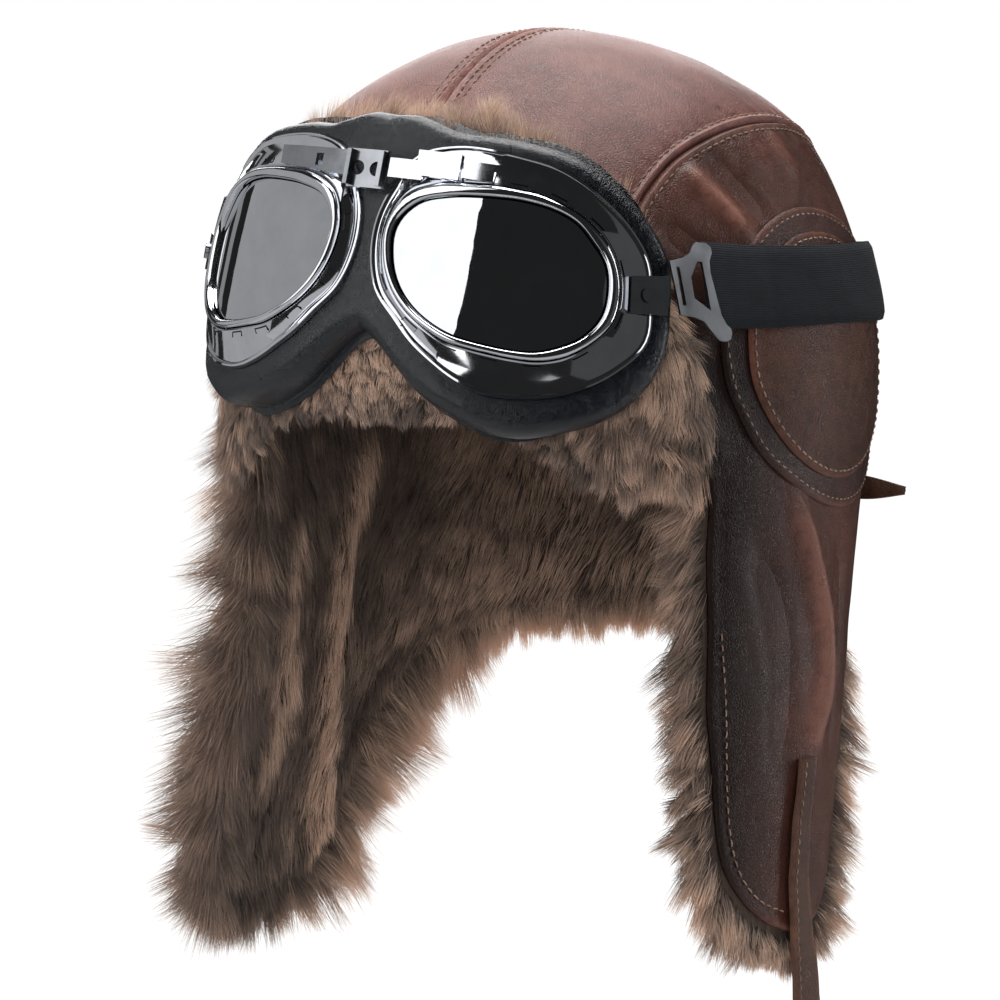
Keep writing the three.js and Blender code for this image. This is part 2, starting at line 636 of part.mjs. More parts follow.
function eyeRing(profile) {
  const rows = [];
  for (let step = 0; step < EYE.length; step += 1) {
    const angle = step * 360 / EYE.length;
    const [lens, bezel, plate, pad] = ['lens', 'bezel', 'plate', 'pad'].map((key) => eyeRadius(angle, key));
    rows.push(profile(lens, bezel, plate, pad).map(([radius, w]) => wrap(eyePoint(angle, radius, w))));
  }
  return loft(rows, true);
}

const padHalf = eyeRing((lens, bezel, plate, pad) => [
  [lens + 2, -0.1], [pad - 6, -0.1], [pad - 1.6, -2.4],
  [pad, -7], [pad - 1, -PAD_DEPTH], [lens + 2, -PAD_DEPTH],
]);
const seatFace = (theta, level) => browFace(theta, level) + GAP;
const seat = wrappedPiece(patternOutline(SEAT_WINDOW), SEAT_DEPTH, seatFace);
seat.applyMatrix4(goggles.matrixWorld.clone().invert());
const padSolid = solidOf(padHalf).add(solidOf(mirrored(padHalf))).subtract(solidOf(seat));
place(goggles, 'goggle_pad', geometryOf(padSolid), padding);

function placeEyes(name, geometry, material) {
  place(goggles, name + '_left', geometry, material);
  place(goggles, name + '_right', mirrored(geometry), material);
}
placeEyes('frame_plate', eyeRing((lens, bezel, plate) => [
  [bezel + 0.4, 0.2], [bezel + 0.4, 4.4], [(bezel + plate) / 2, 3.6],
  [plate - 1.6, 1.7], [plate, 1.5], [plate, 0.2],
]), chrome);
placeEyes('lens_ring', eyeRing((lens, bezel) => [
  [lens + 0.4, 0.2], [lens + 0.4, 5], [lens + 1.3, 6.2], [bezel - 0.8, 6], [bezel, 4.6], [bezel, 0.2],
]), chrome);

// Lens: a shallow dome with an even thickness
function lensRows(shares, count) {
  return shares.map(([share, w]) => {
    const row = [];
    for (let step = 0; step < count; step += 1) {
      const angle = step * 360 / count;
      row.push(wrap(eyePoint(angle, eyeRadius(angle, 'lens') * share, w)));
    }
    return row;
  });
}
const lensProfile = [[0.02, 3], [0.55, 2.6], [0.995, 1.6], [0.995, 3.2], [0.55, 4.3], [0.02, 4.7]];
placeEyes('lens', loft(lensRows(lensProfile, EYE.length), false), mirrorLens);

// Flat metal parts bent to the face
function bentPlate(corners, holes, low, high, bend) {
  const outline = corners.map(([x, y]) => new THREE.Vector2(x, y));
  if (THREE.ShapeUtils.isClockWise(outline)) outline.reverse();
  const shape = new THREE.Shape(outline);
  shape.holes = holes.map((hole) => new THREE.Path(hole.map(([x, y]) => new THREE.Vector2(x, y))));
  const geometry = new THREE.ExtrudeGeometry(shape, { depth: high - low, bevelEnabled: false, steps: 1 });
  const position = geometry.attributes.position;
  for (let i = 0; i < position.count; i += 1) {
    const point = bend(position.getX(i), position.getY(i), low + position.getZ(i));
    position.setXYZ(i, point.x, point.y, point.z);
  }
  return solidOf(geometry).volume() > 0 ? geometry : turnedOut(geometry);
}
const onFace = (x, y, w) => wrap({ u: x, v: y, w });
function rectangle(left, bottom, right, top) {
  return [[left, bottom], [right, bottom], [right, top], [left, top]];
}
function circle(x, y, radius, count) {
  return Array.from({ length: count }, (unused, i) => {
    const angle = 2 * Math.PI * i / count;
    return [x + radius * Math.cos(angle), y + radius * Math.sin(angle)];
  });
}

const facePlate = (corners, holes) => bentPlate(corners, holes, METAL_BACK, METAL_FACE, onFace);
const armRight = facePlate(ARM_RIGHT, [rectangle(...ARM_RIGHT_SLOT)]);
place(goggles, 'bridge_arm_right', armRight, steel);
const { across: holePlaces, up: holeHeight, radius: holeRadius } = ADJUSTER_HOLES;
const adjusterHoles = holePlaces.map((x) => circle(x, holeHeight, holeRadius, 8));
const adjusterPlate = facePlate(rectangle(...ADJUSTER), adjusterHoles);
const flanges = ADJUSTER_FLANGES.left.map((x) => {
  const corners = rectangle(x, ADJUSTER_FLANGES.bottom, x + ADJUSTER_FLANGES.width, ADJUSTER_FLANGES.top);
  return bentPlate(corners, [], ADJUSTER_FLANGES.back, ADJUSTER_FLANGES.face, onFace);
});
const adjuster = flanges.reduce((sum, flange) => sum.add(solidOf(flange)), solidOf(adjusterPlate));
place(goggles, 'bridge_adjuster', geometryOf(adjuster), steel);
const armBlock = bentPlate(rectangle(...ARM_LEFT_BLOCK), [], METAL_BACK, BLOCK_FACE, onFace);
const armLeft = solidOf(facePlate(rectangle(...ARM_LEFT), [])).add(solidOf(armBlock));
place(goggles, 'bridge_arm_left', geometryOf(armLeft), chrome);
const namePlate = bentPlate(rectangle(...NAME_PLATE), [], METAL_BACK, NAME_PLATE_FACE, onFace);
place(goggles, 'bridge_plate', namePlate, chrome);

// Lugs that carry the strap, each with its rivet
const rivetCircle = (radius) => circle(RIVET.across, RIVET.up, radius, RIVET.sides);
placeEyes('lug', bentPlate(LUG, [rivetCircle(RIVET.hole)], LUG_BACK, LUG_FACE, onFace), steel);
placeEyes('rivet', bentPlate(rivetCircle(RIVET.radius), [], RIVET.back, RIVET.face, onFace), steel);

// Strap path round the back of the hat; theta runs on past 180 to the wearer's right
function strapOffset(theta) {
  const turn = Math.min(theta, 360 - theta);
  const side = theta < 180 ? 'left' : 'right';
  const i = Math.max(1, STRAP_PATH.findIndex((row) => row.theta >= turn));
  const [a, b] = [STRAP_PATH[i - 1], STRAP_PATH[i]];
  return a[side] + (b[side] - a[side]) * THREE.MathUtils.clamp((turn - a.theta) / (b.theta - a.theta), 0, 1);
}
function strapMiddle(theta) {
  return STRAP_Z + STRAP_RISE * THREE.MathUtils.smoothstep(theta, 200, 300);
}
function strapPoint(theta, up, w) {
  return offsetSurface(theta, levelOf(strapMiddle(theta) + up), strapOffset(theta) + w);
}
const strapRows = [];
const strapSteps = 46;
for (let step = 0; step <= strapSteps; step += 1) {
  const theta = STRAP_START + (STRAP_END - STRAP_START) * step / strapSteps;
  const half = STRAP_HEIGHT / 2;
  strapRows.push([[-half, 0], [-half, 1], [half, 1], [half, 0]]
    .map(([up, share]) => strapPoint(theta, up, share * STRAP_THICK)));
}
place(hat, 'goggle_strap', loft(strapRows, false), elastic);

function onStrapLeft(x, y, w) {
  return strapPoint(BUCKLE_THETA + x / BUCKLE_MM_PER_DEGREE, y, w);
}
function onStrapRight(x, y, w) {
  return strapPoint(360 - BUCKLE_THETA - x / BUCKLE_MM_PER_DEGREE, y, w);
}
function buckle(bend) {
  return bentPlate(BUCKLE, [BUCKLE_SLOT, BUCKLE_HOLE], BUCKLE_BACK, BUCKLE_FACE, bend);
}
place(hat, 'buckle_left', buckle(onStrapLeft), steel);
place(hat, 'buckle_right', buckle(onStrapRight), steel);

// Chin strap: two narrow layers stitched as one, sewn to the wearer's left flap and hanging plumb below it
function chinX(y, z) {
  const level = levelOf(Math.max(z, CHIN_PLUMB_FROM));
  const [side, mid, len] = ['side', 'mid', 'len'].map((key) => formColumn(level, key));
  return side * Math.sqrt(1 - Math.min(1, ((y - mid) / len) ** 2));
}
const chinRows = CHIN.map(({ z, y, width }) => {
  const middle = new THREE.Vector3(chinX(y, z) + CHIN_CLEAR, y, z);
  return [[-1, 0], [-1, 1], [1, 1], [1, 0]].map(([side, out]) => middle.clone()
    .add(new THREE.Vector3(out * CHIN_THICK, side * width / 2, 0)));
});
place(hat, 'chin_strap', loft(chinRows, false), leather);

// Nape tab: the free end of the strap behind the neck
const napeRows = NAPE.map(({ theta, z, offset, height }) => (
  [[-1, 0], [-1, 1], [1, 1], [1, 0]].map(([side, share]) => {
    const flat = patternPoint(theta, levelOf(z + side * height / 2));
    return facetPoint(flat.x, flat.y, offset + share * NAPE_THICK);
  })
));
place(hat, 'nape_tab', loft(napeRows, false), leather);

export default hat;
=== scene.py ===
"""Aviator hat with goggles: leather, stitching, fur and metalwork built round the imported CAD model."""

import logging
import math
from collections.abc import Callable, Sequence
from dataclasses import dataclass
from enum import Enum

import bmesh
import bpy
import numpy as np
from mathutils import Euler, Matrix, Vector, kdtree, noise
from mathutils.geometry import delaunay_2d_cdt

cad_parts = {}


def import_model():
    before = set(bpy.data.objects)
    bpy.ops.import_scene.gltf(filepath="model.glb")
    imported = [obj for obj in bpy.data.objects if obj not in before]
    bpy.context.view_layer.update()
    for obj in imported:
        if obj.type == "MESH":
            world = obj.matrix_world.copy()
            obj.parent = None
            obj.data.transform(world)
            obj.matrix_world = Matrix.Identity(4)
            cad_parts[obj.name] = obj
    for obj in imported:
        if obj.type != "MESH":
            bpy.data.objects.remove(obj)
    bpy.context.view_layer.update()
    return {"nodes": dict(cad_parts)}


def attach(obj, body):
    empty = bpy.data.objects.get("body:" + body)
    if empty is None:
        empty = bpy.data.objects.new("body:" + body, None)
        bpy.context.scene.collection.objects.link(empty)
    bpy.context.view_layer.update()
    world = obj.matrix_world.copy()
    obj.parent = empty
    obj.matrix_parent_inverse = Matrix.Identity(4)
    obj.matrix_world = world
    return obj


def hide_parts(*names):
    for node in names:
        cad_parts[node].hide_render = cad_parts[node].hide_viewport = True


LOG = logging.getLogger("aviator_hat")
MM = 0.001
BODY = "root"

Array = np.ndarray
Material = bpy.types.Material
Piece = bpy.types.Object
Node = bpy.types.Node
NodeTree = bpy.types.NodeTree
Socket = bpy.types.NodeSocket
Rows = Sequence[tuple[float, float]]

# The outer leather surface, crown to flap ends: height, half width, middle in y, half length
FORM_ROWS = (
    (125.0, 0.0, -4.0, 0.0),
    (121.5, 29.0, -3.0, 29.0),
    (110.0, 58.0, -2.0, 57.0),
    (92.0, 81.0, 0.0, 82.0),
    (66.0, 94.0, -1.0, 103.0),
    (34.0, 102.5, -1.0, 112.0),
    (0.0, 104.5, -1.0, 111.0),
    (-38.0, 103.5, -5.0, 105.0),
    (-74.0, 104.5, -11.0, 102.0),
    (-110.0, 107.5, -21.0, 99.0),
    (-145.0, 110.0, -30.0, 97.0),
    (-180.0, 111.0, -35.0, 95.0),
    (-215.0, 111.0, -38.0, 95.0),
)
TOP_Z = FORM_ROWS[0][0]

# Each side's name, and whether it mirrors the wearer's left
HANDS = (("left", False), ("right", True))

# Seams and edges, as angle from the front towards the wearer's left and height
BROW_RIM = 1.0
ARCH = (
    (38, BROW_RIM), (39, 12), (42, 38), (46, 58), (51, 72), (58, 83), (70, 90.5), (84, 94),
    (100, 94), (112, 91.5), (124, 88), (134, 84.5), (142, 81),
)
BACK_TOP = ((142, 81), (155, 80), (168, 79), (180, 79))
SIDE_BACK = ((142, 81), (143, 60), (143.5, 20), (142.5, -30), (141, -76))
NECK_RIM = ((141, -76), (155, -73), (168, -72), (180, -72))
FLAP = (
    (141, -76), (131, -80), (123, -88), (118, -98), (115.5, -110), (114, -124), (112, -140),
    (108, -154), (101, -165), (92, -169), (83, -166), (76, -160), (71, -152), (67.5, -142),
    (65.5, -127), (64, -110), (62.5, -93), (62, -70), (61, -47), (61, -27), (59, -15), (52, -6),
    (38, BROW_RIM),
)
FLAP_SEWING = ((64.5, -70), (66.5, -96), (68, -124), (71, -144), (77, -156), (86, -162))
CROWN_SEAM = ((0, 40), (0, 80), (0, 110), (0, TOP_Z), (180, 110), (180, 95), (180, 79))
PATCH_OUTER = (
    (66, 44), (72, 55), (80, 63), (89, 66), (100, 64), (112, 57), (122, 44), (128, 26), (129, 8),
    (126, -8), (119, -22), (110, -30), (100, -33), (90, -31), (80, -24), (71, -13), (65, 3),
    (63, 15), (63, 30), (66, 44),
)
PATCH_INNER = (
    (73, 45), (78, 52), (85, 57), (95, 57), (104, 52), (112, 42), (117, 28), (118, 10), (116, -4),
    (110, -15), (103, -21), (95, -23), (87, -21), (79, -14), (73, -4), (69, 8), (68, 20), (69, 33),
    (73, 45),
)
FLAP_RIDGE = ((79, -18), (82, -30), (85, -42), (89, -56), (93, -70), (95, -86), (93, -102), (89, -120))
LINING_RIM = 3.0
LINING_EDGE = (
    (0, LINING_RIM), (20, 2), (38, 0), (50, -7), (57, -18), (57.5, -34), (57.5, -52), (58, -70),
    (58.5, -90), (60, -110), (61.5, -127), (63.5, -143), (67, -156), (73, -167), (82, -174),
    (92, -177), (102, -173), (110, -162), (115, -146), (118, -128), (120, -112), (123, -101),
    (130, -90), (141, -83), (155, -79), (180, -78),
)
BROW_EDGE = (
    (0, 0), (20, -1), (31, -10), (42, -21), (54, -21), (59, -10), (59, 8), (56, 23), (51.5, 37),
    (48, 51), (43.5, 63), (36, 74), (26, 82), (13, 88), (0, 88),
)
# Soft creases down the fur of the wearer's right flap, mirrored on the left: line, height, width, paleness;
# the paleness is a painted highlight along each crease.
FUR_RIDGES = (
    (
        ((252, -5), (256, -26), (258, -54), (257, -89), (253, -109), (251, -130), (250, -152), (252, -166)),
        3.2, 4.8, 1.3,
    ),
    (((275, -34), (278, -52), (276, -74), (271, -96), (273, -118), (275, -134)), 2.6, 6.5, 0.75),
)
# Fringe at a flap's front edge, foot and back edge, then the neck: length, flare, trail, way out, paleness.
# The paleness is partly the tips' own tan and partly painted light, for the light that catches the fringe.
FRINGE_RIGHT = (
    (21, 1.4, 0.85, 0.4, 0.84),
    (17, 0.3, 0.3, 1.0, 0.9),
    (26, -0.5, 0.25, 1.0, 1.2),
    (13, 0.1, 0, 1, 1.6),
)
FRINGE_LEFT = (
    (15, 0.3, 0.7, 0.8, 0.86),
    (8.5, 0.3, 0.3, 1.0, 1.05),
    (15, 1.05, 0.35, 0.45, 1.05),
    (13, 0.1, 0, 1, 1.6),
)
# Angles at the wearer's left between which one of those stretches passes into the next
FRINGE_TURNS = ((66, 84), (96, 110), (130, 142))

LEATHER = 1.5
LINING_SKIN = -3.6
BROW_SKIN = 4.0
BROW_THICK = 7.5
BROW_LIFT = 6.0
BROW_LIFT_FROM = 5.0
BROW_LIFT_TO = 4.0
SEAT_GAP = 0.3


def colour(code: str) -> tuple[float, float, float, float]:
    """Turns a six-digit display colour into the linear values that materials take.

    Args:
        code: Two hexadecimal digits each for red, green and blue.

    Returns:
        Linear red, green, blue and a full alpha.
    """
    parts = [int(code[i : i + 2], 16) / 255 for i in (0, 2, 4)]
    linear = [c / 12.92 if c <= 0.04045 else ((c + 0.055) / 1.055) ** 2.4 for c in parts]
    return (*linear, 1.0)


def unit(vectors: Array) -> Array:
    """Scales each row to length one."""
    return vectors / np.maximum(np.linalg.norm(vectors, axis=-1, keepdims=True), 1e-9)


def blend(a: Array, b: Array, share: Array) -> Array:
    """Mixes two arrays by a share from 0 to 1."""
    return a + (b - a) * share


def smoothstep(low: float, high: float, value: Array) -> Array:
    """Eases from 0 at low to 1 at high."""
    t = np.clip((value - low) / (high - low), 0, 1)
    return t * t * (3 - 2 * t)


def bell(value: Array, middle: float, width: float) -> Array:
    """A smooth bump of height one round a middle value."""
    return np.exp(-(((value - middle) / width) ** 2))


def curve_through(a: Array, b: Array, c: Array, d: Array, t: Array) -> Array:
    """The smooth curve from b to c whose neighbours are a and d, at share t."""
    return 0.5 * (2 * b + (c - a) * t + (2 * a - 5 * b + 4 * c - d) * t**2 + (3 * b - a - 3 * c + d) * t**3)


def measured(line: Array) -> Array:
    """Distance along a line to each of its points."""
    return np.concatenate([[0], np.cumsum(np.linalg.norm(np.diff(line, axis=0), axis=1))])


def sampled(line: Array, along: Array, at: Array) -> Array:
    """Values of a line's rows at distances along it."""
    return np.column_stack([np.interp(at, along, column) for column in line.T])


def resampled(corners: Array, spacing: float, closed: bool = False) -> Array:
    """Draws a smooth line through corners and divides it evenly.

    Args:
        corners: The points that the line passes through, one a row.
        spacing: Distance wanted between neighbouring points.
        closed: Whether the last corner repeats the first, with no kink there.

    Returns:
        The points of the line, ends included.
    """
    first, last = 2 * corners[0] - corners[1], 2 * corners[-1] - corners[-2]
    if closed:
        first, last = corners[-2], corners[1]
    padded = np.vstack([first, corners, last])
    steps = np.linspace(0, 1, 13)[:-1, None]
    spans = [curve_through(*padded[i : i + 4], steps) for i in range(len(corners) - 1)]
    line = np.vstack([*spans, corners[-1:]])
    along = measured(line)
    count = max(2, int(round(along[-1] / spacing)) + 1)
    return sampled(line, along, np.linspace(0, along[-1], count))


def soft_noise(points: Array, size: float, seed: float) -> Array:
    """Smooth noise between about -1 and 1.

    Args:
        points: Places in millimetres, one a row.
        size: Size of the noise's patches in millimetres.
        seed: Shifts the pattern, so that two uses differ.

    Returns:
        One value a point.
    """
    shift = Vector((seed * 17.3, seed * -9.1, seed * 5.7))
    return np.array([noise.noise(Vector(p) / size + shift) for p in points])


class HatForm:
    """The hat's outer surface, addressed by angle in degrees and by level, which counts the form's rows."""

    def __init__(self) -> None:
        """Pads the table at both ends and measures it."""
        rows = np.array(FORM_ROWS)
        over_the_top = rows[3:0:-1] * [1, -1, 1, -1]
        below = np.repeat(rows[-1:], 3, axis=0)
        self.rows = np.vstack([over_the_top, rows, below])
        self.levels = np.linspace(0, len(rows) - 1, 4001)
        table = self.columns(self.levels)
        self.heights = table[0]
        widths = (table[1] + table[3]) / 2
        steps = np.hypot(np.diff(self.heights), np.diff(widths))
        self.reach = np.concatenate([[0], np.cumsum(steps)])

    def columns(self, level: Array) -> Array:
        """Height, half width, middle and half length at levels, one each a row."""
        base = np.floor(level).astype(int)
        t = (level - base)[..., None]
        a, b, c, d = (self.rows[np.clip(base + 3 + step, 0, len(self.rows) - 1)] for step in (-1, 0, 1, 2))
        return np.moveaxis(curve_through(a, b, c, d, t), -1, 0)

    def level_of(self, z: Array) -> Array:
        """The level at a height."""
        return np.interp(-np.asarray(z, float), -self.heights, self.levels)

    def reach_of(self, level: Array) -> Array:
        """Distance along the surface from the crown's top to a level."""
        return np.interp(level, self.levels, self.reach)

    def level_at(self, reach: Array) -> Array:
        """The level at a distance along the surface from the crown's top."""
        return np.interp(reach, self.reach, self.levels)

    def bare(self, theta: Array, level: Array) -> Array:
        """Points of the surface itself."""
        z, side, middle, length = self.columns(np.asarray(level, float))
        angle = np.radians(theta)
        return np.stack([side * np.sin(angle), middle - length * np.cos(angle), z], axis=-1)

    def axes(self, theta: Array, level: Array) -> tuple[Array, Array, Array]:
        """Directions on the surface.

        Args:
            theta: Angles in degrees.
            level: Levels.

        Returns:
            Unit vectors outwards, down the surface, and towards rising angles.
        """
        angle = np.radians(theta)
        p, q = level * np.sin(angle), -level * np.cos(angle)
        step = 0.01

        def at(x: Array, y: Array) -> Array:
            """The surface at flat coordinates round the crown's top."""
            return self.bare(np.degrees(np.arctan2(x, -y)), np.hypot(x, y))

        along_p = at(p + step, q) - at(p - step, q)
        along_q = at(p, q + step) - at(p, q - step)
        outwards = unit(np.cross(along_p, along_q))
        down = unit(along_p * np.sin(angle)[..., None] - along_q * np.cos(angle)[..., None])
        return outwards, down, unit(np.cross(outwards, down) * -1)

    def point(self, theta: Array, level: Array, offset: Array | float = 0.0) -> Array:
        """Points at an offset from the surface, outwards positive."""
        theta, level = np.broadcast_arrays(np.asarray(theta, float), np.asarray(level, float))
        lift = np.asarray(offset, float)[..., None]
        return self.bare(theta, level) + self.axes(theta, level)[0] * lift

    def offset_of(self, points: Array) -> tuple[Array, Array, Array]:
        """Where points near the surface lie.

        Args:
            points: Places in millimetres.

        Returns:
            Angle, level and offset of each.
        """
        foot = points.copy()
        for _ in range(3):
            level = np.maximum(self.level_of(foot[:, 2]), 0.2)
            _, side, middle, length = self.columns(level)
            theta = np.degrees(np.arctan2(foot[:, 0] / side, -(foot[:, 1] - middle) / length))
            on = self.bare(theta, level)
            outwards = self.axes(theta, level)[0]
            offset = np.sum((points - on) * outwards, axis=1)
            foot = points - outwards * offset[:, None]
        return theta, level, offset


FORM = HatForm()
WALL_RADIUS = 104.0


class Chart(Enum):
    """How a piece is laid flat before it is cut: round the crown's top, or unrolled from the side."""

    DOME = "dome"
    WALL = "wall"

    def flat(self, theta: Array, level: Array) -> Array:
        """Flat coordinates of places on the form."""
        reach, angle = FORM.reach_of(level), np.radians(theta)
        if self is Chart.DOME:
            return np.stack([reach * np.sin(angle), -reach * np.cos(angle)], axis=-1)
        return np.stack([angle * WALL_RADIUS, -reach], axis=-1)

    def polar(self, xy: Array) -> tuple[Array, Array]:
        """Angle and level of flat coordinates."""
        x, y = xy[..., 0], xy[..., 1]
        if self is Chart.DOME:
            return np.degrees(np.arctan2(x, -y)), FORM.level_at(np.hypot(x, y))
        return np.degrees(x / WALL_RADIUS), FORM.level_at(-y)

    def line(self, rows: Rows, spacing: float, closed: bool = False) -> Array:
        """A smooth flat line through rows of angle and height."""
        table = np.array(rows, float)
        level = np.where(table[:, 1] >= TOP_Z, 0.0, FORM.level_of(table[:, 1]))
        return resampled(self.flat(table[:, 0], level), spacing, closed)

    def lifted(self, xy: Array, offset: Array | float = 0.0) -> Array:
        """Points in space of flat coordinates."""
        return FORM.point(*self.polar(xy), offset)

    def shifted(self, xy: Array, sideways: Array) -> Array:
        """Moves flat points by vectors given in space.

        Args:
            xy: Flat points.
            sideways: Vectors in space that lie along the surface, in millimetres.

        Returns:
            The moved flat points.
        """
        step = 0.25
        columns = []
        for axis in np.eye(2) * step:
            columns.append((self.lifted(xy + axis) - self.lifted(xy - axis)) / (2 * step))
        a, b = columns
        aa, ab, bb = (np.sum(m * n, axis=1) for m, n in ((a, a), (a, b), (b, b)))
        va, vb = np.sum(a * sideways, axis=1), np.sum(b * sideways, axis=1)
        det = aa * bb - ab * ab
        return xy + np.stack([(bb * va - ab * vb) / det, (aa * vb - ab * va) / det], axis=1)


def left_of(points: Array, normals: Array, closed: bool) -> Array:
    """Unit vectors across a line, to its left as seen from outside.

    Args:
        points: The line's points.
        normals: Outward normals there.
        closed: Whether the line closes on itself.

    Returns:
        One vector a point.
    """
    if closed:
        tangent = np.roll(points, -1, axis=0) - np.roll(points, 1, axis=0)
    else:
        tangent = np.gradient(points, axis=0)
    return unit(np.cross(normals, tangent))


class Nearest:
    """Finds the nearest of a set of points."""

    def __init__(self, points: Array) -> None:
        """Sorts the points into a tree."""
        self.tree = kdtree.KDTree(len(points))
        for i, p in enumerate(points):
            self.tree.insert(p, i)
        self.tree.balance()

    def find(self, points: Array) -> tuple[Array, Array]:
        """Distance to, and index of, the nearest point for each given one."""
        found = [self.tree.find(p) for p in points]
        return np.array([f[2] for f in found]), np.array([f[1] for f in found], int)


def inside(xy: Array, loop: Array) -> Array:
    """Whether each flat point lies within a closed loop.

    Args:
        xy: Flat points.
        loop: The loop's flat corners.

    Returns:
        A truth value a point.
    """
    out = np.zeros(len(xy), bool)
    following = np.roll(loop, -1, axis=0)
    for (x0, y0), (x1, y1) in zip(loop, following):
        if y0 == y1:
            continue
        between = (y0 > xy[:, 1]) != (y1 > xy[:, 1])
        out ^= between & (xy[:, 0] < x0 + (xy[:, 1] - y0) * (x1 - x0) / (y1 - y0))
    return out


def triangulated(loops: list[Array], extra: Array) -> tuple[Array, Array]:
    """Fills the first loop, less the others, with triangles.

    Args:
        loops: Flat outlines; the first is the outer one.
        extra: Flat points inside that the triangles use.

    Returns:
        Flat corner points and triangles.
    """
    points = np.vstack([*loops, extra])
    edges, start = [], 0
    for loop in loops:
        n = len(loop)
        edges += [(start + i, start + (i + 1) % n) for i in range(n)]
        start += n
    result = delaunay_2d_cdt([Vector(p) for p in points], edges, [], 0, 1e-6)
    flat = np.array([tuple(p) for p in result[0]])
    faces = np.array([f for f in result[2] if len(f) == 3])
    middle = flat[faces].mean(axis=1)
    keep = inside(middle, loops[0])
    for hole in loops[1:]:
        keep &= ~inside(middle, hole)
    faces = faces[keep]
    a, b, c = (flat[faces[:, k]] for k in range(3))
    turned = np.cross(b - a, c - a) < 0
    faces[turned] = faces[turned][:, ::-1]
    used = np.unique(faces)
    fresh = np.full(len(flat), -1)
    fresh[used] = np.arange(len(used))
    return flat[used], fresh[faces]


def rim_edges(faces: Array) -> Array:
    """The directed edges that only one triangle has."""
    pairs = np.vstack([faces[:, [0, 1]], faces[:, [1, 2]], faces[:, [2, 0]]])
    known = {tuple(p) for p in pairs}
    return np.array([p for p in pairs if (p[1], p[0]) not in known])


def placed(name: str, data: bpy.types.ID) -> Piece:
    """Puts a mesh, light or camera in the scene."""
    made = bpy.data.objects.new(name, data)
    bpy.context.scene.collection.objects.link(made)
    return made


def make_object(
    name: str, points: Array, faces: list[Array], material: Material,
    facts: dict[str, Array] | None = None, sharp: float | None = None,
) -> Piece:
    """Makes a mesh object from arrays.

    Args:
        name: The piece's name.
        points: Corners in millimetres.
        faces: Arrays of corner numbers, one array for each number of sides.
        material: Its finish.
        facts: Named values a point, or vectors a point, that the material reads.
        sharp: Angle in degrees past which an edge stays sharp, or None for all smooth.

    Returns:
        The object, linked to the scene.
    """
    mesh = bpy.data.meshes.new(name)
    mesh.vertices.add(len(points))
    mesh.vertices.foreach_set("co", (points * MM).astype(np.float32).ravel())
    corners = np.concatenate([f.ravel() for f in faces]).astype(np.int32)
    sizes = np.concatenate([np.full(len(f), f.shape[1]) for f in faces])
    starts = np.concatenate([[0], np.cumsum(sizes)[:-1]]).astype(np.int32)
    mesh.loops.add(len(corners))
    mesh.loops.foreach_set("vertex_index", corners)
    mesh.polygons.add(len(sizes))
    mesh.polygons.foreach_set("loop_start", starts)
    mesh.update(calc_edges=True)
    mesh.validate()
    mesh.shade_smooth()
    if sharp is not None:
        mesh.set_sharp_from_angle(angle=math.radians(sharp))
    for key, values in (facts or {}).items():
        kind = "FLOAT" if values.ndim == 1 else "FLOAT_VECTOR"
        data = mesh.attributes.new(key, kind, "POINT").data
        data.foreach_set("value" if kind == "FLOAT" else "vector", values.astype(np.float32).ravel())
    mesh.materials.append(material)
    return placed(name, mesh)


def slab(
    name: str, upper: Array, lower: Array, faces: Array, material: Material, mirror: bool = False,
    **rest: object,
) -> Piece:
    """Closes two like skins with a wall round their rims.

    Args:
        name: The piece's name.
        upper: Points of the outer skin.
        lower: Points of the inner skin, in the same order.
        faces: Triangles of the outer skin.
        material: Its finish.
        mirror: Whether it is made for the wearer's right.
        rest: What make_object takes besides.

    Returns:
        The object.
    """
    count = len(upper)
    rim = rim_edges(faces)
    walls = np.column_stack([rim[:, 0], rim[:, 0] + count, rim[:, 1] + count, rim[:, 1]])
    points, groups = np.vstack([upper, lower]), [np.vstack([faces, faces[:, ::-1] + count]), walls]
    if mirror:
        points, groups = points * [-1, 1, 1], [group[:, ::-1] for group in groups]
    return make_object(name, points, groups, material, **rest)


def settle(piece: Piece, nodes: Sequence[str] = ()) -> Piece:
    """Rides a piece on the hat, and hides the CAD nodes that it stands for.

    Args:
        piece: The piece.
        nodes: CAD nodes that it replaces.

    Returns:
        The same piece.
    """
    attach(piece, BODY)
    if nodes:
        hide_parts(*nodes)
    LOG.info("%s: %d faces", piece.name, len(piece.data.polygons))
    return piece


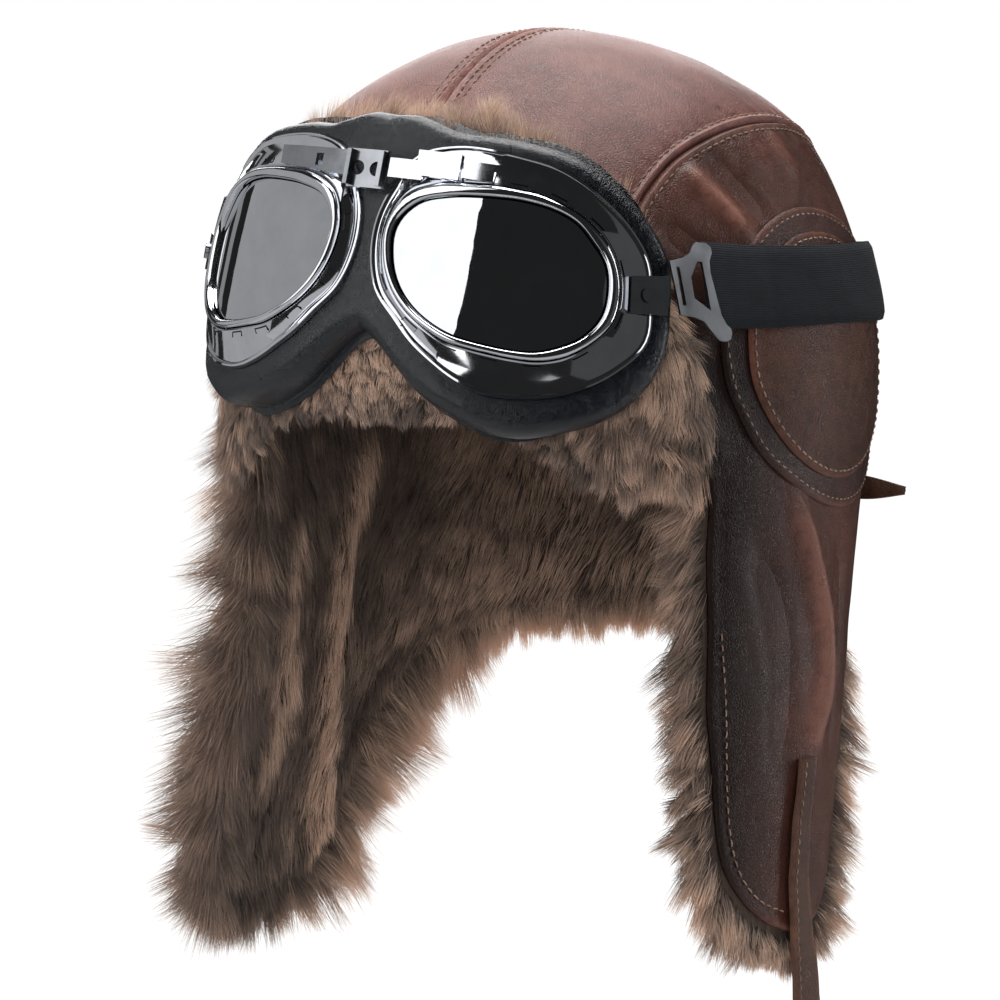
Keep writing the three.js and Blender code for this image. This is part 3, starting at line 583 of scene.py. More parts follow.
class Nodes:
    """A node tree with short ways to add and link nodes."""

    def __init__(self, tree: NodeTree) -> None:
        """Keeps the tree."""
        self.tree = tree

    def feed(self, node: Node, inputs: dict) -> None:
        """Sets a node's inputs, by name or number, to values or links them to outputs."""
        for key, value in inputs.items():
            if isinstance(value, Socket):
                self.tree.links.new(value, node.inputs[key])
            else:
                node.inputs[key].default_value = value

    def add(self, kind: str, inputs: dict | None = None, **settings: object) -> Node:
        """Adds a node.

        Args:
            kind: The node's type name without the leading ShaderNode.
            inputs: Values or output sockets by input name or number.
            settings: Properties of the node.

        Returns:
            The node.
        """
        node = self.tree.nodes.new("ShaderNode" + kind)
        for key, value in settings.items():
            setattr(node, key, value)
        self.feed(node, inputs or {})
        return node

    def out(self, kind: str, inputs: dict | None = None, key: str | int = 0, **settings: object) -> Socket:
        """One output of a new node, the first if none is named."""
        return self.add(kind, inputs, **settings).outputs[key]

    def calc(self, operation: str, *values: object) -> Socket:
        """A Math node's result."""
        return self.out("Math", dict(enumerate(values)), operation=operation)

    def mixed(self, share: object, a: object, b: object) -> Socket:
        """A mix of two colours by a share."""
        return self.out("Mix", {0: share, 6: a, 7: b}, 2, data_type="RGBA")

    def fact(self, name: str, output: str = "Fac") -> Socket:
        """A value that the mesh carries at its points."""
        return self.out("Attribute", None, output, attribute_name=name)

    def bump(self, height: object, distance: float, strength: float = 1.0) -> Socket:
        """A normal raised by a height."""
        return self.out("Bump", {"Height": height, "Distance": distance, "Strength": strength})


class Effects:
    """Shader node groups that several finishes share. Each takes a place and named numbers."""

    def __init__(self) -> None:
        """Builds each group once."""
        self.grain = self.build_grain()
        self.mottle = self.build_mottle()
        self.smears = self.build_smears()

    @staticmethod
    def start(name: str, inputs: dict[str, float], outputs: Sequence[str]) -> tuple[Nodes, dict, Node]:
        """Starts a group.

        Args:
            name: The group's name.
            inputs: Default value of each number that it takes besides the place.
            outputs: Names of its number outputs.

        Returns:
            The tree's helper, what comes in by name, and the node for what goes out.
        """
        tree = bpy.data.node_groups.new(name, "ShaderNodeTree")
        tree.interface.new_socket("Place", in_out="INPUT", socket_type="NodeSocketVector")
        for key, value in inputs.items():
            socket = tree.interface.new_socket(key, in_out="INPUT", socket_type="NodeSocketFloat")
            socket.default_value = value
        for key in outputs:
            tree.interface.new_socket(key, in_out="OUTPUT", socket_type="NodeSocketFloat")
        nodes = Nodes(tree)
        return nodes, tree.nodes.new("NodeGroupInput").outputs, tree.nodes.new("NodeGroupOutput")

    def clouds(self, nodes: Nodes, place: Socket, size: float, contrast: float) -> Socket:
        """A cloudy mask in a material."""
        inputs = {"Place": place, "Size": size, "Contrast": contrast}
        return nodes.out("Group", inputs, node_tree=self.mottle)

    def build_grain(self) -> NodeTree:
        """Leather grain: small pebbles with creases between them."""
        inputs = {"Scale": 900.0, "Creases": 0.5}
        nodes, given, outlet = self.start("leather_grain", inputs, ("Height", "Crease"))
        place, edges = given["Place"], {"feature": "DISTANCE_TO_EDGE"}
        warp = nodes.out("TexNoise", {"Vector": place, "Scale": 260.0, "Detail": 3.0}, "Color")
        moved = {0: warp, 1: (0.0016, 0.0016, 0.0016), 2: place}
        bent = nodes.out("VectorMath", moved, operation="MULTIPLY_ADD")
        cells = nodes.out("TexVoronoi", {"Vector": bent, "Scale": given["Scale"]}, **edges)
        pebble = nodes.out("MapRange", {0: cells, 1: 0.0, 2: 0.16, 3: 0.0, 4: 1.0})
        wide = nodes.out("TexVoronoi", {"Vector": bent, "Scale": 210.0}, **edges)
        crack = nodes.out("MapRange", {0: wide, 1: 0.0, 2: 0.05, 3: 1.0, 4: 0.0})
        patches = nodes.out("TexNoise", {"Vector": place, "Scale": 38.0, "Detail": 2.0})
        crease = nodes.calc("MULTIPLY", crack, nodes.out("MapRange", {0: patches, 1: 0.45, 2: 0.65}))
        crease = nodes.calc("MULTIPLY", crease, given["Creases"])
        nodes.feed(outlet, {"Height": nodes.calc("SUBTRACT", pebble, crease), "Crease": crease})
        return nodes.tree

    def build_mottle(self) -> NodeTree:
        """Cloudy variation with a finer variation in it."""
        nodes, given, outlet = self.start("mottle", {"Size": 30.0, "Contrast": 1.0}, ("Mask",))
        inputs = {"Vector": given["Place"], "Scale": given["Size"], "Detail": 6.0, "Roughness": 0.65}
        centred = nodes.calc("SUBTRACT", nodes.out("TexNoise", inputs), 0.5)
        spread = nodes.calc("MULTIPLY_ADD", centred, given["Contrast"], 0.5)
        nodes.feed(outlet, {"Mask": nodes.out("Clamp", {0: spread})})
        return nodes.tree

    def build_smears(self) -> NodeTree:
        """Fine smears and scratches on polished metal."""
        nodes, given, outlet = self.start("smears", {"Low": 0.05, "High": 0.2}, ("Roughness", "Height"))
        clouds = nodes.out("TexNoise", {"Vector": given["Place"], "Scale": 90.0, "Detail": 5.0})
        rough = nodes.out("MapRange", {0: clouds, 1: 0.35, 2: 0.7, 3: given["Low"], 4: given["High"]})
        fine = nodes.out("TexNoise", {"Vector": given["Place"], "Scale": 1500.0, "Detail": 2.0})
        nodes.feed(outlet, {"Roughness": rough, "Height": fine})
        return nodes.tree


@dataclass(frozen=True)
class Finish:
    """A named finish. Each kind works out what the shader takes."""

    name: str

    def material(self, effects: Effects) -> Material:
        """Builds the material."""
        material = bpy.data.materials.new(self.name)
        material.use_nodes = True
        nodes = Nodes(material.node_tree)
        place = nodes.out("TexCoord", None, "Object")
        nodes.feed(nodes.tree.nodes["Principled BSDF"], self.look(nodes, place, effects))
        return material

    def look(self, nodes: Nodes, place: Socket, effects: Effects) -> dict:
        """Works out what the shader takes.

        Args:
            nodes: The material's nodes.
            place: The place on the hat.
            effects: The shared node groups.

        Returns:
            The shader's inputs by name.
        """
        raise NotImplementedError


@dataclass(frozen=True)
class LeatherFinish(Finish):
    """Aged leather, darker in its pores and paler where it stands proud, from rubbing and from painted
    highlights on its ridges; a painted shade darkens it where less light falls.
    """

    deep: str
    body: str
    worn_and_lit: str
    grain_scale: float = 1050.0
    grain_height: float = 0.00008
    roughness: float = 0.5
    # The colour that the painted shade darkens towards.
    painted_shade_colour: str = "1c0e0b"

    def look(self, nodes: Nodes, place: Socket, effects: Effects) -> dict:
        """The shader's inputs by name."""
        deep = colour(self.deep)
        inputs = {"Place": place, "Scale": self.grain_scale, "Creases": 0.7}
        grain = nodes.add("Group", inputs, node_tree=effects.grain).outputs
        broad = effects.clouds(nodes, place, 16.0, 2.4)
        fine = effects.clouds(nodes, place, 190.0, 2.2)
        rubbed_and_lit = nodes.calc("MULTIPLY", nodes.fact("wear_and_highlight"), nodes.calc("ADD", fine, 0.35))
        rubbed_and_lit = nodes.calc("MULTIPLY", rubbed_and_lit, nodes.calc("MULTIPLY_ADD", broad, 1.1, 0.45))
        toned = nodes.mixed(broad, deep, colour(self.body))
        speckled = nodes.mixed(nodes.calc("MULTIPLY", fine, 0.35), toned, deep)
        # The paler colour stands for rubbing and for painted highlights alike.
        worn_and_lit = nodes.mixed(nodes.out("Clamp", {0: rubbed_and_lit}), speckled, colour(self.worn_and_lit))
        # Painted shade: the shade fact darkens the leather towards the painted shade colour.
        shaded = nodes.mixed(nodes.fact("shade"), worn_and_lit, colour(self.painted_shade_colour))
        creased = nodes.mixed(nodes.calc("MULTIPLY", grain["Crease"], 0.6), shaded, deep)
        gloss = nodes.calc("MULTIPLY_ADD", fine, 0.16, self.roughness - 0.08)
        bump = nodes.bump(grain["Height"], self.grain_height, 0.9)
        return {"Base Color": creased, "Roughness": gloss, "Normal": bump, "Specular IOR Level": 0.3}


@dataclass(frozen=True)
class ThreadFinish(Finish):
    """Waxed sewing thread."""

    pale: str
    soiled: str

    def look(self, nodes: Nodes, place: Socket, effects: Effects) -> dict:
        """The shader's inputs by name."""
        soil = effects.clouds(nodes, place, 60.0, 2.0)
        tone = nodes.mixed(soil, colour(self.soiled), colour(self.pale))
        ply = nodes.out("TexNoise", {"Vector": place, "Scale": 4000.0, "Detail": 1.0})
        return {"Base Color": tone, "Normal": nodes.bump(ply, 0.0001), "Roughness": 0.75}


@dataclass(frozen=True)
class FurFinish(Finish):
    """Long pile, dark at its roots and tan at its tips."""

    root: str
    middle: str
    tip: str

    def look(self, nodes: Nodes, place: Socket, effects: Effects) -> dict:
        """The shader's inputs by name."""
        cloud = effects.clouds(nodes, place, 45.0, 1.6)
        lively = nodes.calc("MULTIPLY_ADD", cloud, 0.3, -0.15)
        tone = nodes.calc("ADD", nodes.calc("MULTIPLY", nodes.fact("along"), nodes.fact("tint")), lively)
        ramp = nodes.add("ValToRGB", {0: tone})
        stops = ramp.color_ramp.elements
        stops[0].position, stops[0].color = 0.02, colour(self.root)
        stops[1].position, stops[1].color = 0.95, colour(self.tip)
        stops.new(0.45).color = colour(self.middle)
        gloss = nodes.calc("MULTIPLY_ADD", cloud, 0.12, 0.52)
        look = {"Base Color": ramp.outputs["Color"], "Roughness": gloss}
        return {**look, "Specular IOR Level": 0.35, "Sheen Weight": 0.15}


@dataclass(frozen=True)
class SkinFinish(Finish):
    """The dark knitted backing under the pile."""

    dark: str
    light: str

    def look(self, nodes: Nodes, place: Socket, effects: Effects) -> dict:
        """The shader's inputs by name."""
        streaks = nodes.out("Mapping", {"Vector": place, "Scale": (420.0, 420.0, 60.0)})
        hair = nodes.out("TexNoise", {"Vector": streaks, "Scale": 1.0, "Detail": 4.0})
        tone = nodes.mixed(hair, colour(self.dark), colour(self.light))
        return {"Base Color": tone, "Normal": nodes.bump(hair, 0.0012), "Roughness": 0.95}


@dataclass(frozen=True)
class PaddingFinish(Finish):
    """Soft black rubber sheet over foam."""

    body: str
    dusty: str

    def look(self, nodes: Nodes, place: Socket, effects: Effects) -> dict:
        """The shader's inputs by name."""
        dust = effects.clouds(nodes, place, 28.0, 1.5)
        tone = nodes.mixed(nodes.calc("MULTIPLY", dust, 0.5), colour(self.body), colour(self.dusty))
        gloss = nodes.calc("MULTIPLY_ADD", dust, 0.12, 0.2)
        inputs = {"Place": place, "Scale": 1500.0, "Creases": 0.1}
        bump = nodes.bump(nodes.out("Group", inputs, node_tree=effects.grain), 0.00006)
        return {"Base Color": tone, "Roughness": gloss, "Normal": bump, "Specular IOR Level": 0.6}


@dataclass(frozen=True)
class MetalFinish(Finish):
    """Plated or plain metal with smears."""

    body: str
    tarnish: str
    low: float
    high: float
    scratch: float = 0.000004

    def look(self, nodes: Nodes, place: Socket, effects: Effects) -> dict:
        """The shader's inputs by name."""
        inputs = {"Place": place, "Low": self.low, "High": self.high}
        smear = nodes.add("Group", inputs, node_tree=effects.smears).outputs
        cloud = effects.clouds(nodes, place, 70.0, 1.8)
        tone = nodes.mixed(nodes.calc("MULTIPLY", cloud, 0.6), colour(self.body), colour(self.tarnish))
        bump = nodes.bump(smear["Height"], self.scratch)
        return {"Base Color": tone, "Roughness": smear["Roughness"], "Normal": bump, "Metallic": 1.0}


@dataclass(frozen=True)
class ElasticFinish(Finish):
    """Woven elastic webbing with lengthwise ribs and a fine cross weave."""

    body: str
    thread: str

    def look(self, nodes: Nodes, place: Socket, effects: Effects) -> dict:
        """The shader's inputs by name."""
        path = nodes.fact("path", "Vector")
        waves = []
        for way, scale, bend in (("Y", 0.45, 0.4), ("X", 0.7, 0.8)):
            inputs = {"Vector": path, "Scale": scale, "Distortion": bend}
            waves.append(nodes.out("TexWave", inputs, "Fac", bands_direction=way))
        weave = nodes.calc("MULTIPLY", *waves)
        lint = effects.clouds(nodes, place, 240.0, 2.4)
        pale = nodes.calc("MULTIPLY", nodes.calc("MULTIPLY", weave, lint), 0.8)
        tone = nodes.mixed(pale, colour(self.body), colour(self.thread))
        return {"Base Color": tone, "Normal": nodes.bump(weave, 0.0003, 0.8), "Roughness": 0.85}


class Edge(Enum):
    """What happens along one run of a piece's outline."""

    SEAM = "seam"
    FREE = "free"
    HIDDEN = "hidden"


@dataclass(frozen=True)
class Run:
    """One smooth stretch of an outline, as rows of angle and height."""

    rows: Rows
    edge: Edge


def mirrored_rows(rows: Rows) -> Rows:
    """The same run on the hat's other side, in the opposite direction."""
    return tuple((360 - theta, z) for theta, z in reversed(rows))


class Outline:
    """A closed outline on the hat, cut into even steps."""

    def __init__(self, chart: Chart, runs: Sequence[Run], spacing: float) -> None:
        """Draws each run and joins them.

        Args:
            chart: How the piece is laid flat.
            runs: The runs, each starting where the last one ends.
            spacing: Distance between points in millimetres.
        """
        self.chart = chart
        parts, edges = [], []
        for run in runs:
            closed = len(runs) == 1
            line = chart.line(run.rows, spacing, closed)[:-1]
            parts.append(line)
            edges += [run.edge] * len(line)
        self.xy = np.vstack(parts)
        self.edges = np.array([e.value for e in edges])
        area = np.sum(np.cross(self.xy, np.roll(self.xy, -1, axis=0)))
        if area < 0:
            self.xy, self.edges = self.xy[::-1], self.edges[::-1]
        theta, level = chart.polar(self.xy)
        self.points = FORM.point(theta, level)
        normals = FORM.axes(theta, level)[0]
        self.inwards = left_of(self.points, normals, closed=True)
        self.tangent = np.cross(self.inwards, normals)
        self.along = measured(self.points)

    def inset(self, distance: float) -> Array:
        """Flat points at a distance inside the outline, with none nearer to it than that."""
        moved = self.chart.shifted(self.xy, self.inwards * distance)
        gap, _ = Nearest(self.points).find(self.chart.lifted(moved))
        return moved[(gap > distance * 0.94) & inside(moved, self.xy)]

    def filled(self, spacing: float, clear: float) -> Array:
        """Flat points spread evenly inside the outline, at least a distance clear of it.

        Args:
            spacing: Distance between points.
            clear: Distance to keep from the outline.

        Returns:
            The flat points.
        """
        low, high = self.xy.min(axis=0), self.xy.max(axis=0)
        rows = []
        for i, y in enumerate(np.arange(low[1], high[1], spacing * 0.87)):
            xs = np.arange(low[0] + (i % 2) * spacing / 2, high[0], spacing)
            rows.append(np.column_stack([xs, np.full(len(xs), y)]))
        grid = np.vstack(rows)
        grid = grid[inside(grid, self.xy)]
        gap, _ = Nearest(self.points).find(self.chart.lifted(grid))
        return grid[gap > clear]

    def distances(self, points: Array, edge: Edge) -> tuple[Array, Array]:
        """Distance to the runs of one kind and the place along them, or far away where there are none.

        Args:
            points: Places in millimetres.
            edge: The kind of run.

        Returns:
            Distance and place along the outline, one each a point.
        """
        chosen = np.flatnonzero(self.edges == edge.value)
        if len(chosen) == 0:
            return np.full(len(points), 1e3), np.zeros(len(points))
        gap, index = Nearest(self.points[chosen]).find(points)
        return gap, self.along[chosen[index]]


@dataclass(frozen=True)
class Fold:
    """A ridge, or with a negative height a dent, along a line on the surface."""

    rows: Rows
    height: float
    width: float
    # Paler share along the fold, for rubbing and for a painted highlight.
    rub_and_highlight: float = 0.0

    def share(self, points: Array) -> Array:
        """How much of the fold's height each point has, fading at both ends."""
        line = Chart.WALL.line(self.rows, 1.0)
        gap, index = Nearest(Chart.WALL.lifted(line)).find(points)
        along = index / max(1, len(line) - 1)
        return bell(gap, 0, self.width) * smoothstep(0, 0.25, along) * smoothstep(0, 0.25, 1 - along)


@dataclass
class Panel:
    """A piece of leather cut from the form, with thickness, lips along its seams, folds, paleness from
    rubbing and painted highlights, and painted shade.
    """

    name: str
    chart: Chart
    runs: Sequence[Run]
    thickness: float = LEATHER
    lift: float = 0.0
    spacing: float = 2.3
    folds: Sequence[Fold] = ()
    ripple: float = 0.5
    lip: float = 0.75
    puff: Callable[[Array, Array], Array] | None = None
    # Gives each point's painted shade from its angle and height.
    tone: Callable[[Array, Array], Array] | None = None
    rub_and_highlight: float = 0.35
    mirror: bool = False
    rings: Sequence[float] = (0.5, 1.1, 1.8, 2.6, 3.4, 4.4)

    def relief(self, outline: Outline, xy: Array) -> tuple[Array, Array]:
        """Height over the form, and paleness from rubbing and painted highlights, of each flat point.

        Args:
            outline: The piece's outline.
            xy: Flat points.

        Returns:
            Height in millimetres, and paleness from rubbing and painted highlights, one each a point.
        """
        points = self.chart.lifted(xy)
        theta, level = self.chart.polar(xy)
        seam, along = outline.distances(points, Edge.SEAM)
        free, _ = outline.distances(points, Edge.FREE)
        height = -1.2 * bell(seam, 0, 0.8) + self.lip * bell(seam, 1.9, 1.0) - 0.3 * bell(seam, 3.4, 0.6)
        pucker = np.sin(along * 0.9 + 3 * soft_noise(points, 12, 3.0))
        height += 0.2 * pucker * bell(seam, 5.0, 2.6)
        height -= 0.75 * np.clip(1 - free / 1.6, 0, 1) ** 2 + 0.25 * bell(free, 4.2, 0.7)
        waves = soft_noise(points, 34, 1.0) + 0.4 * soft_noise(points, 13, 2.0)
        height += self.ripple * waves * smoothstep(0, 9, np.minimum(seam, free))
        wear_and_highlight = 0.55 * bell(seam, 1.8, 1.1) + 0.5 * bell(free, 0.8, 1.0) + self.rub_and_highlight
        for fold in self.folds:
            share = fold.share(points)
            height += fold.height * share
            wear_and_highlight += fold.rub_and_highlight * share
        if self.puff:
            height += self.puff(theta, level) * smoothstep(0, 7, np.minimum(seam, free))
        return height, wear_and_highlight

    def build(self, material: Material) -> Piece:
        """Cuts, shapes and thickens the piece.

        Args:
            material: Its finish.

        Returns:
            The object.
        """
        outline = Outline(self.chart, self.runs, 1.7)
        extra = [outline.inset(d) for d in self.rings]
        extra.append(outline.filled(self.spacing, self.rings[-1] + 0.6 * self.spacing))
        xy, faces = triangulated([outline.xy], np.vstack(extra))
        theta, level = self.chart.polar(xy)
        height, wear_and_highlight = self.relief(outline, xy)
        upper = FORM.point(theta, level, self.lift + height)
        lower = FORM.point(theta, level, self.lift - self.thickness)
        # Painted shade, darker where less light falls.
        shade = self.tone(theta, FORM.columns(level)[0]) if self.tone else np.zeros(len(xy))
        facts = {"wear_and_highlight": np.tile(wear_and_highlight, 2), "shade": np.tile(shade, 2)}
        return slab(self.name, upper, lower, faces, material, self.mirror, facts=facts, sharp=50)


@dataclass(frozen=True)
class StitchLine:
    """A row of stitches beside a line on the surface."""

    rows: Rows
    shift: float
    height: float
    pitch: float = 3.5
    closed: bool = False
    chart: Chart = Chart.WALL
    ends: tuple[float, float] = (0.0, 1.0)

    def frames(self) -> tuple[Array, Array, Array]:
        """Middle, direction and outward normal of each stitch.

        Returns:
            Three arrays with a row for each stitch.
        """
        line = self.chart.line(self.rows, 1.2, self.closed)
        theta, level = self.chart.polar(line)
        points = FORM.point(theta, level)
        side = left_of(points, FORM.axes(theta, level)[0], False)
        line = self.chart.shifted(line, side * self.shift)
        theta, level = self.chart.polar(line)
        points = FORM.point(theta, level, self.height)
        normals = FORM.axes(theta, level)[0]
        along = measured(points)
        at = np.arange(along[-1] * self.ends[0] + self.pitch / 2, along[-1] * self.ends[1], self.pitch)
        tangents = sampled(np.gradient(points, axis=0), along, at)
        return sampled(points, along, at), unit(tangents), unit(sampled(normals, along, at))


# A stitch from end to end: place along it, girth and height over the leather
STITCH_ROWS = (
    (-0.5, 0.45, -0.45), (-0.36, 0.95, -0.05), (0.0, 1.0, 0.12), (0.36, 0.95, -0.05), (0.5, 0.45, -0.45),
)


@dataclass(frozen=True)
class Sewing:
    """All the stitches of the hat in one piece."""

    length: float = 2.5
    radius: float = 0.3
    sides: int = 4

    def mesh(self, middles: Array, along: Array, normals: Array) -> tuple[Array, list[Array]]:
        """Short rounded threads that dip at both ends.

        Args:
            middles: Middle of each stitch.
            along: Its direction.
            normals: Outward normals.

        Returns:
            Points and faces.
        """
        rng = np.random.default_rng(5)
        turn = rng.normal(0, 0.07, (len(middles), 1))
        across = np.cross(normals, along)
        along = unit(along + across * turn)
        across = np.cross(normals, along)
        rings = []
        for station, girth, dip in STITCH_ROWS:
            centre = middles + along * station * self.length + normals * dip
            for side in range(self.sides):
                angle = 2 * math.pi * side / self.sides
                arm = across * math.cos(angle) + normals * math.sin(angle)
                rings.append(centre + arm * self.radius * girth)
        points = np.stack(rings, axis=1).reshape(-1, 3)
        starts = np.arange(len(middles)) * len(rings)
        last = len(rings) - self.sides
        ends = [list(reversed(range(self.sides))), list(range(last, len(rings)))]
        groups = (ring_faces(len(STITCH_ROWS), self.sides, False), np.array(ends))
        return points, [(g[:, None] + starts[:, None]).reshape(-1, g.shape[1]) for g in groups]

    def build(self, name: str, lines: Sequence[StitchLine], material: Material) -> Piece:
        """Sews the lines on the wearer's left and again on the right.

        Args:
            name: The piece's name.
            lines: The rows of stitches.
            material: The thread.

        Returns:
            The object.
        """
        frames = [line.frames() for line in lines]
        left = [np.vstack([f[k] for f in frames]) for k in range(3)]
        points, faces = self.mesh(*(np.vstack([a, a * [-1, 1, 1]]) for a in left))
        return make_object(name, points, faces, material)


def side_painted_shade(theta: Array, z: Array) -> Array:
    """Painted shade: darker leather towards the front of the side and lower down, where less light falls;
    the upper side is left lightest.
    """
    front = 1 - smoothstep(64, 90, theta)
    low = 1 - smoothstep(30, 75, z)
    return 0.72 * front * low + 0.3 * (1 - smoothstep(10, 60, z))


def crown_painted_shade(theta: Array, z: Array) -> Array:
    """Painted shade: the crown is lightest on top, under the top light, and darker lower down."""
    return 0.25 * (1 - smoothstep(20, 100, z))


class LeatherShell:
    """The hat's outer leather: two crown halves, two sides with their flaps, and the back."""

    crown_lines = (
        Run(((0, BROW_RIM), *CROWN_SEAM), Edge.SEAM),
        Run(tuple(reversed(BACK_TOP)), Edge.SEAM),
        Run(tuple(reversed(ARCH)), Edge.SEAM),
        Run(((38, BROW_RIM), (20, BROW_RIM), (0, BROW_RIM)), Edge.FREE),
    )
    side_lines = (Run(ARCH, Edge.SEAM), Run(SIDE_BACK, Edge.SEAM), Run(FLAP, Edge.FREE))
    back_lines = (
        Run(BACK_TOP + mirrored_rows(BACK_TOP)[1:], Edge.SEAM),
        Run(mirrored_rows(tuple(reversed(SIDE_BACK))), Edge.SEAM),
        Run(tuple(reversed(NECK_RIM + mirrored_rows(NECK_RIM)[1:])), Edge.FREE),
        Run(tuple(reversed(SIDE_BACK)), Edge.SEAM),
    )
    side_folds = (
        # Painted highlight: the flap's ridge gets a large paler share that stands in for the light along it.
        Fold(FLAP_RIDGE, 4.6, 5.0, 1.3),
        Fold(((70, -30), (74, -50), (80, -75), (82, -100), (80, -130)), -2.2, 7.0),
        Fold(((99, -34), (102, -60), (104, -90), (101, -130)), -2.4, 5.0),
        Fold(((58, 82), (63, 74), (69, 64), (74, 52)), 2.6, 3.6, 0.8),
        Fold(((66, 86), (71, 76), (76, 67), (80, 60)), -2.4, 4.0),
        Fold(((53, 64), (58, 56), (64, 48), (67, 34)), -2.2, 4.5),
        Fold(((52, 30), (55, 10), (60, -5), (64, -24)), 1.2, 5.0, 0.2),
        Fold(((88, 92), (90, 82), (94, 74)), 0.9, 4.0, 0.2),
        Fold(((130, 60), (134, 30), (132, 0), (134, -40)), 1.0, 6.0, 0.2),
    )

    def build(self, side_leather: Material, crown_leather: Material) -> None:
        """Builds the five pieces.

        Args:
            side_leather: Finish of the sides and the back.
            crown_leather: Finish of the crown.
        """
        for hand, mirror in HANDS:
            crown = Panel(
                "leather_crown_" + hand, Chart.DOME, self.crown_lines, tone=crown_painted_shade, rub_and_highlight=0.5,
                mirror=mirror,
            )
            settle(crown.build(crown_leather), ["crown_top_" + hand])
            side = Panel(
                "leather_side_" + hand, Chart.WALL, self.side_lines, folds=self.side_folds, tone=side_painted_shade,
                rub_and_highlight=0.25, ripple=0.8, mirror=mirror,
            )
            settle(side.build(side_leather), ["side_panel_" + hand])
        back = Panel("leather_back", Chart.WALL, self.back_lines, rub_and_highlight=0.2, ripple=0.8)
        settle(back.build(side_leather), ["back_panel"])


@dataclass
class EarPatches:
    """On each ear a flat teardrop with a padded oval sewn on it."""

    flat_lift: float = 1.5
    flat_thick: float = 1.2
    pad_lift: float = 2.7
    pad_thick: float = 0.9
    pad_puff: float = 1.6
    middle: tuple[float, float] = (93.0, 18.0)
    half: tuple[float, float] = (25.0, 1.15)

    def puff(self, theta: Array, level: Array) -> Array:
        """How far the padding lifts the oval."""
        centre = FORM.level_of(self.middle[1])
        away = np.hypot((theta - self.middle[0]) / self.half[0], (level - centre) / self.half[1])
        return self.pad_puff * np.clip(1 - away**2, 0, 1)

    def build(self, flat: Material, pad: Material) -> None:
        """Builds both ears' patches.

        Args:
            flat: Finish of the flat patch.
            pad: Finish of the padded oval.
        """
        for hand, mirror in HANDS:
            patch = Panel(
                "leather_patch_" + hand, Chart.WALL, [Run(PATCH_OUTER, Edge.FREE)], self.flat_thick,
                self.flat_lift, ripple=0.1, rub_and_highlight=0.2, mirror=mirror, tone=side_painted_shade,
            )
            settle(patch.build(flat), ["ear_patch_" + hand])
            oval = Panel(
                "leather_pad_" + hand, Chart.WALL, [Run(PATCH_INNER, Edge.FREE)], self.pad_thick,
                self.pad_lift, ripple=0.1, puff=self.puff, rub_and_highlight=0.4, mirror=mirror,
            )
            settle(oval.build(pad), ["ear_pad_" + hand])


# Goggles
WRAP_RADIUS = 104.0
EYE_U = 48.0
GOGGLE_PLACE = (4.5, -127.0, 52.0)
GOGGLE_TURN = (-13.0, 4.0)
PAD_DEPTH = 26.0
# Radii of one eye's outlines every 15 degrees, from the temple over the top: lens, bezel, plate, pad
EYE_ROWS = (
    (32, 36, 48, 57.5), (31, 34.5, 46.5, 56), (28.5, 32.5, 43, 51.5), (27, 30, 40, 47.5),
    (25, 28, 38.5, 45.5), (23.5, 27, 38, 44), (23, 26.5, 38, 43.5), (23.5, 27.5, 40, 45.5),
    (25.5, 30, 44, 50.5), (29.5, 35, 48, 67), (35, 40, 47.5, 66.5), (37.5, 40.5, 46.8, 60),
    (35.7, 38.5, 45, 58), (33, 35.8, 42.5, 58.5), (30, 32.8, 38.5, 50), (27.3, 30, 37, 47),
    (25.3, 28.3, 36.5, 47), (23.8, 26.6, 37.5, 47.5), (23.5, 26.3, 39, 49.5), (24.5, 27.5, 40, 52),
    (26.5, 30, 42, 53.5), (28.5, 32.5, 44.5, 57), (31, 34.5, 47.5, 60), (32.5, 36.5, 50.5, 60.5),
)


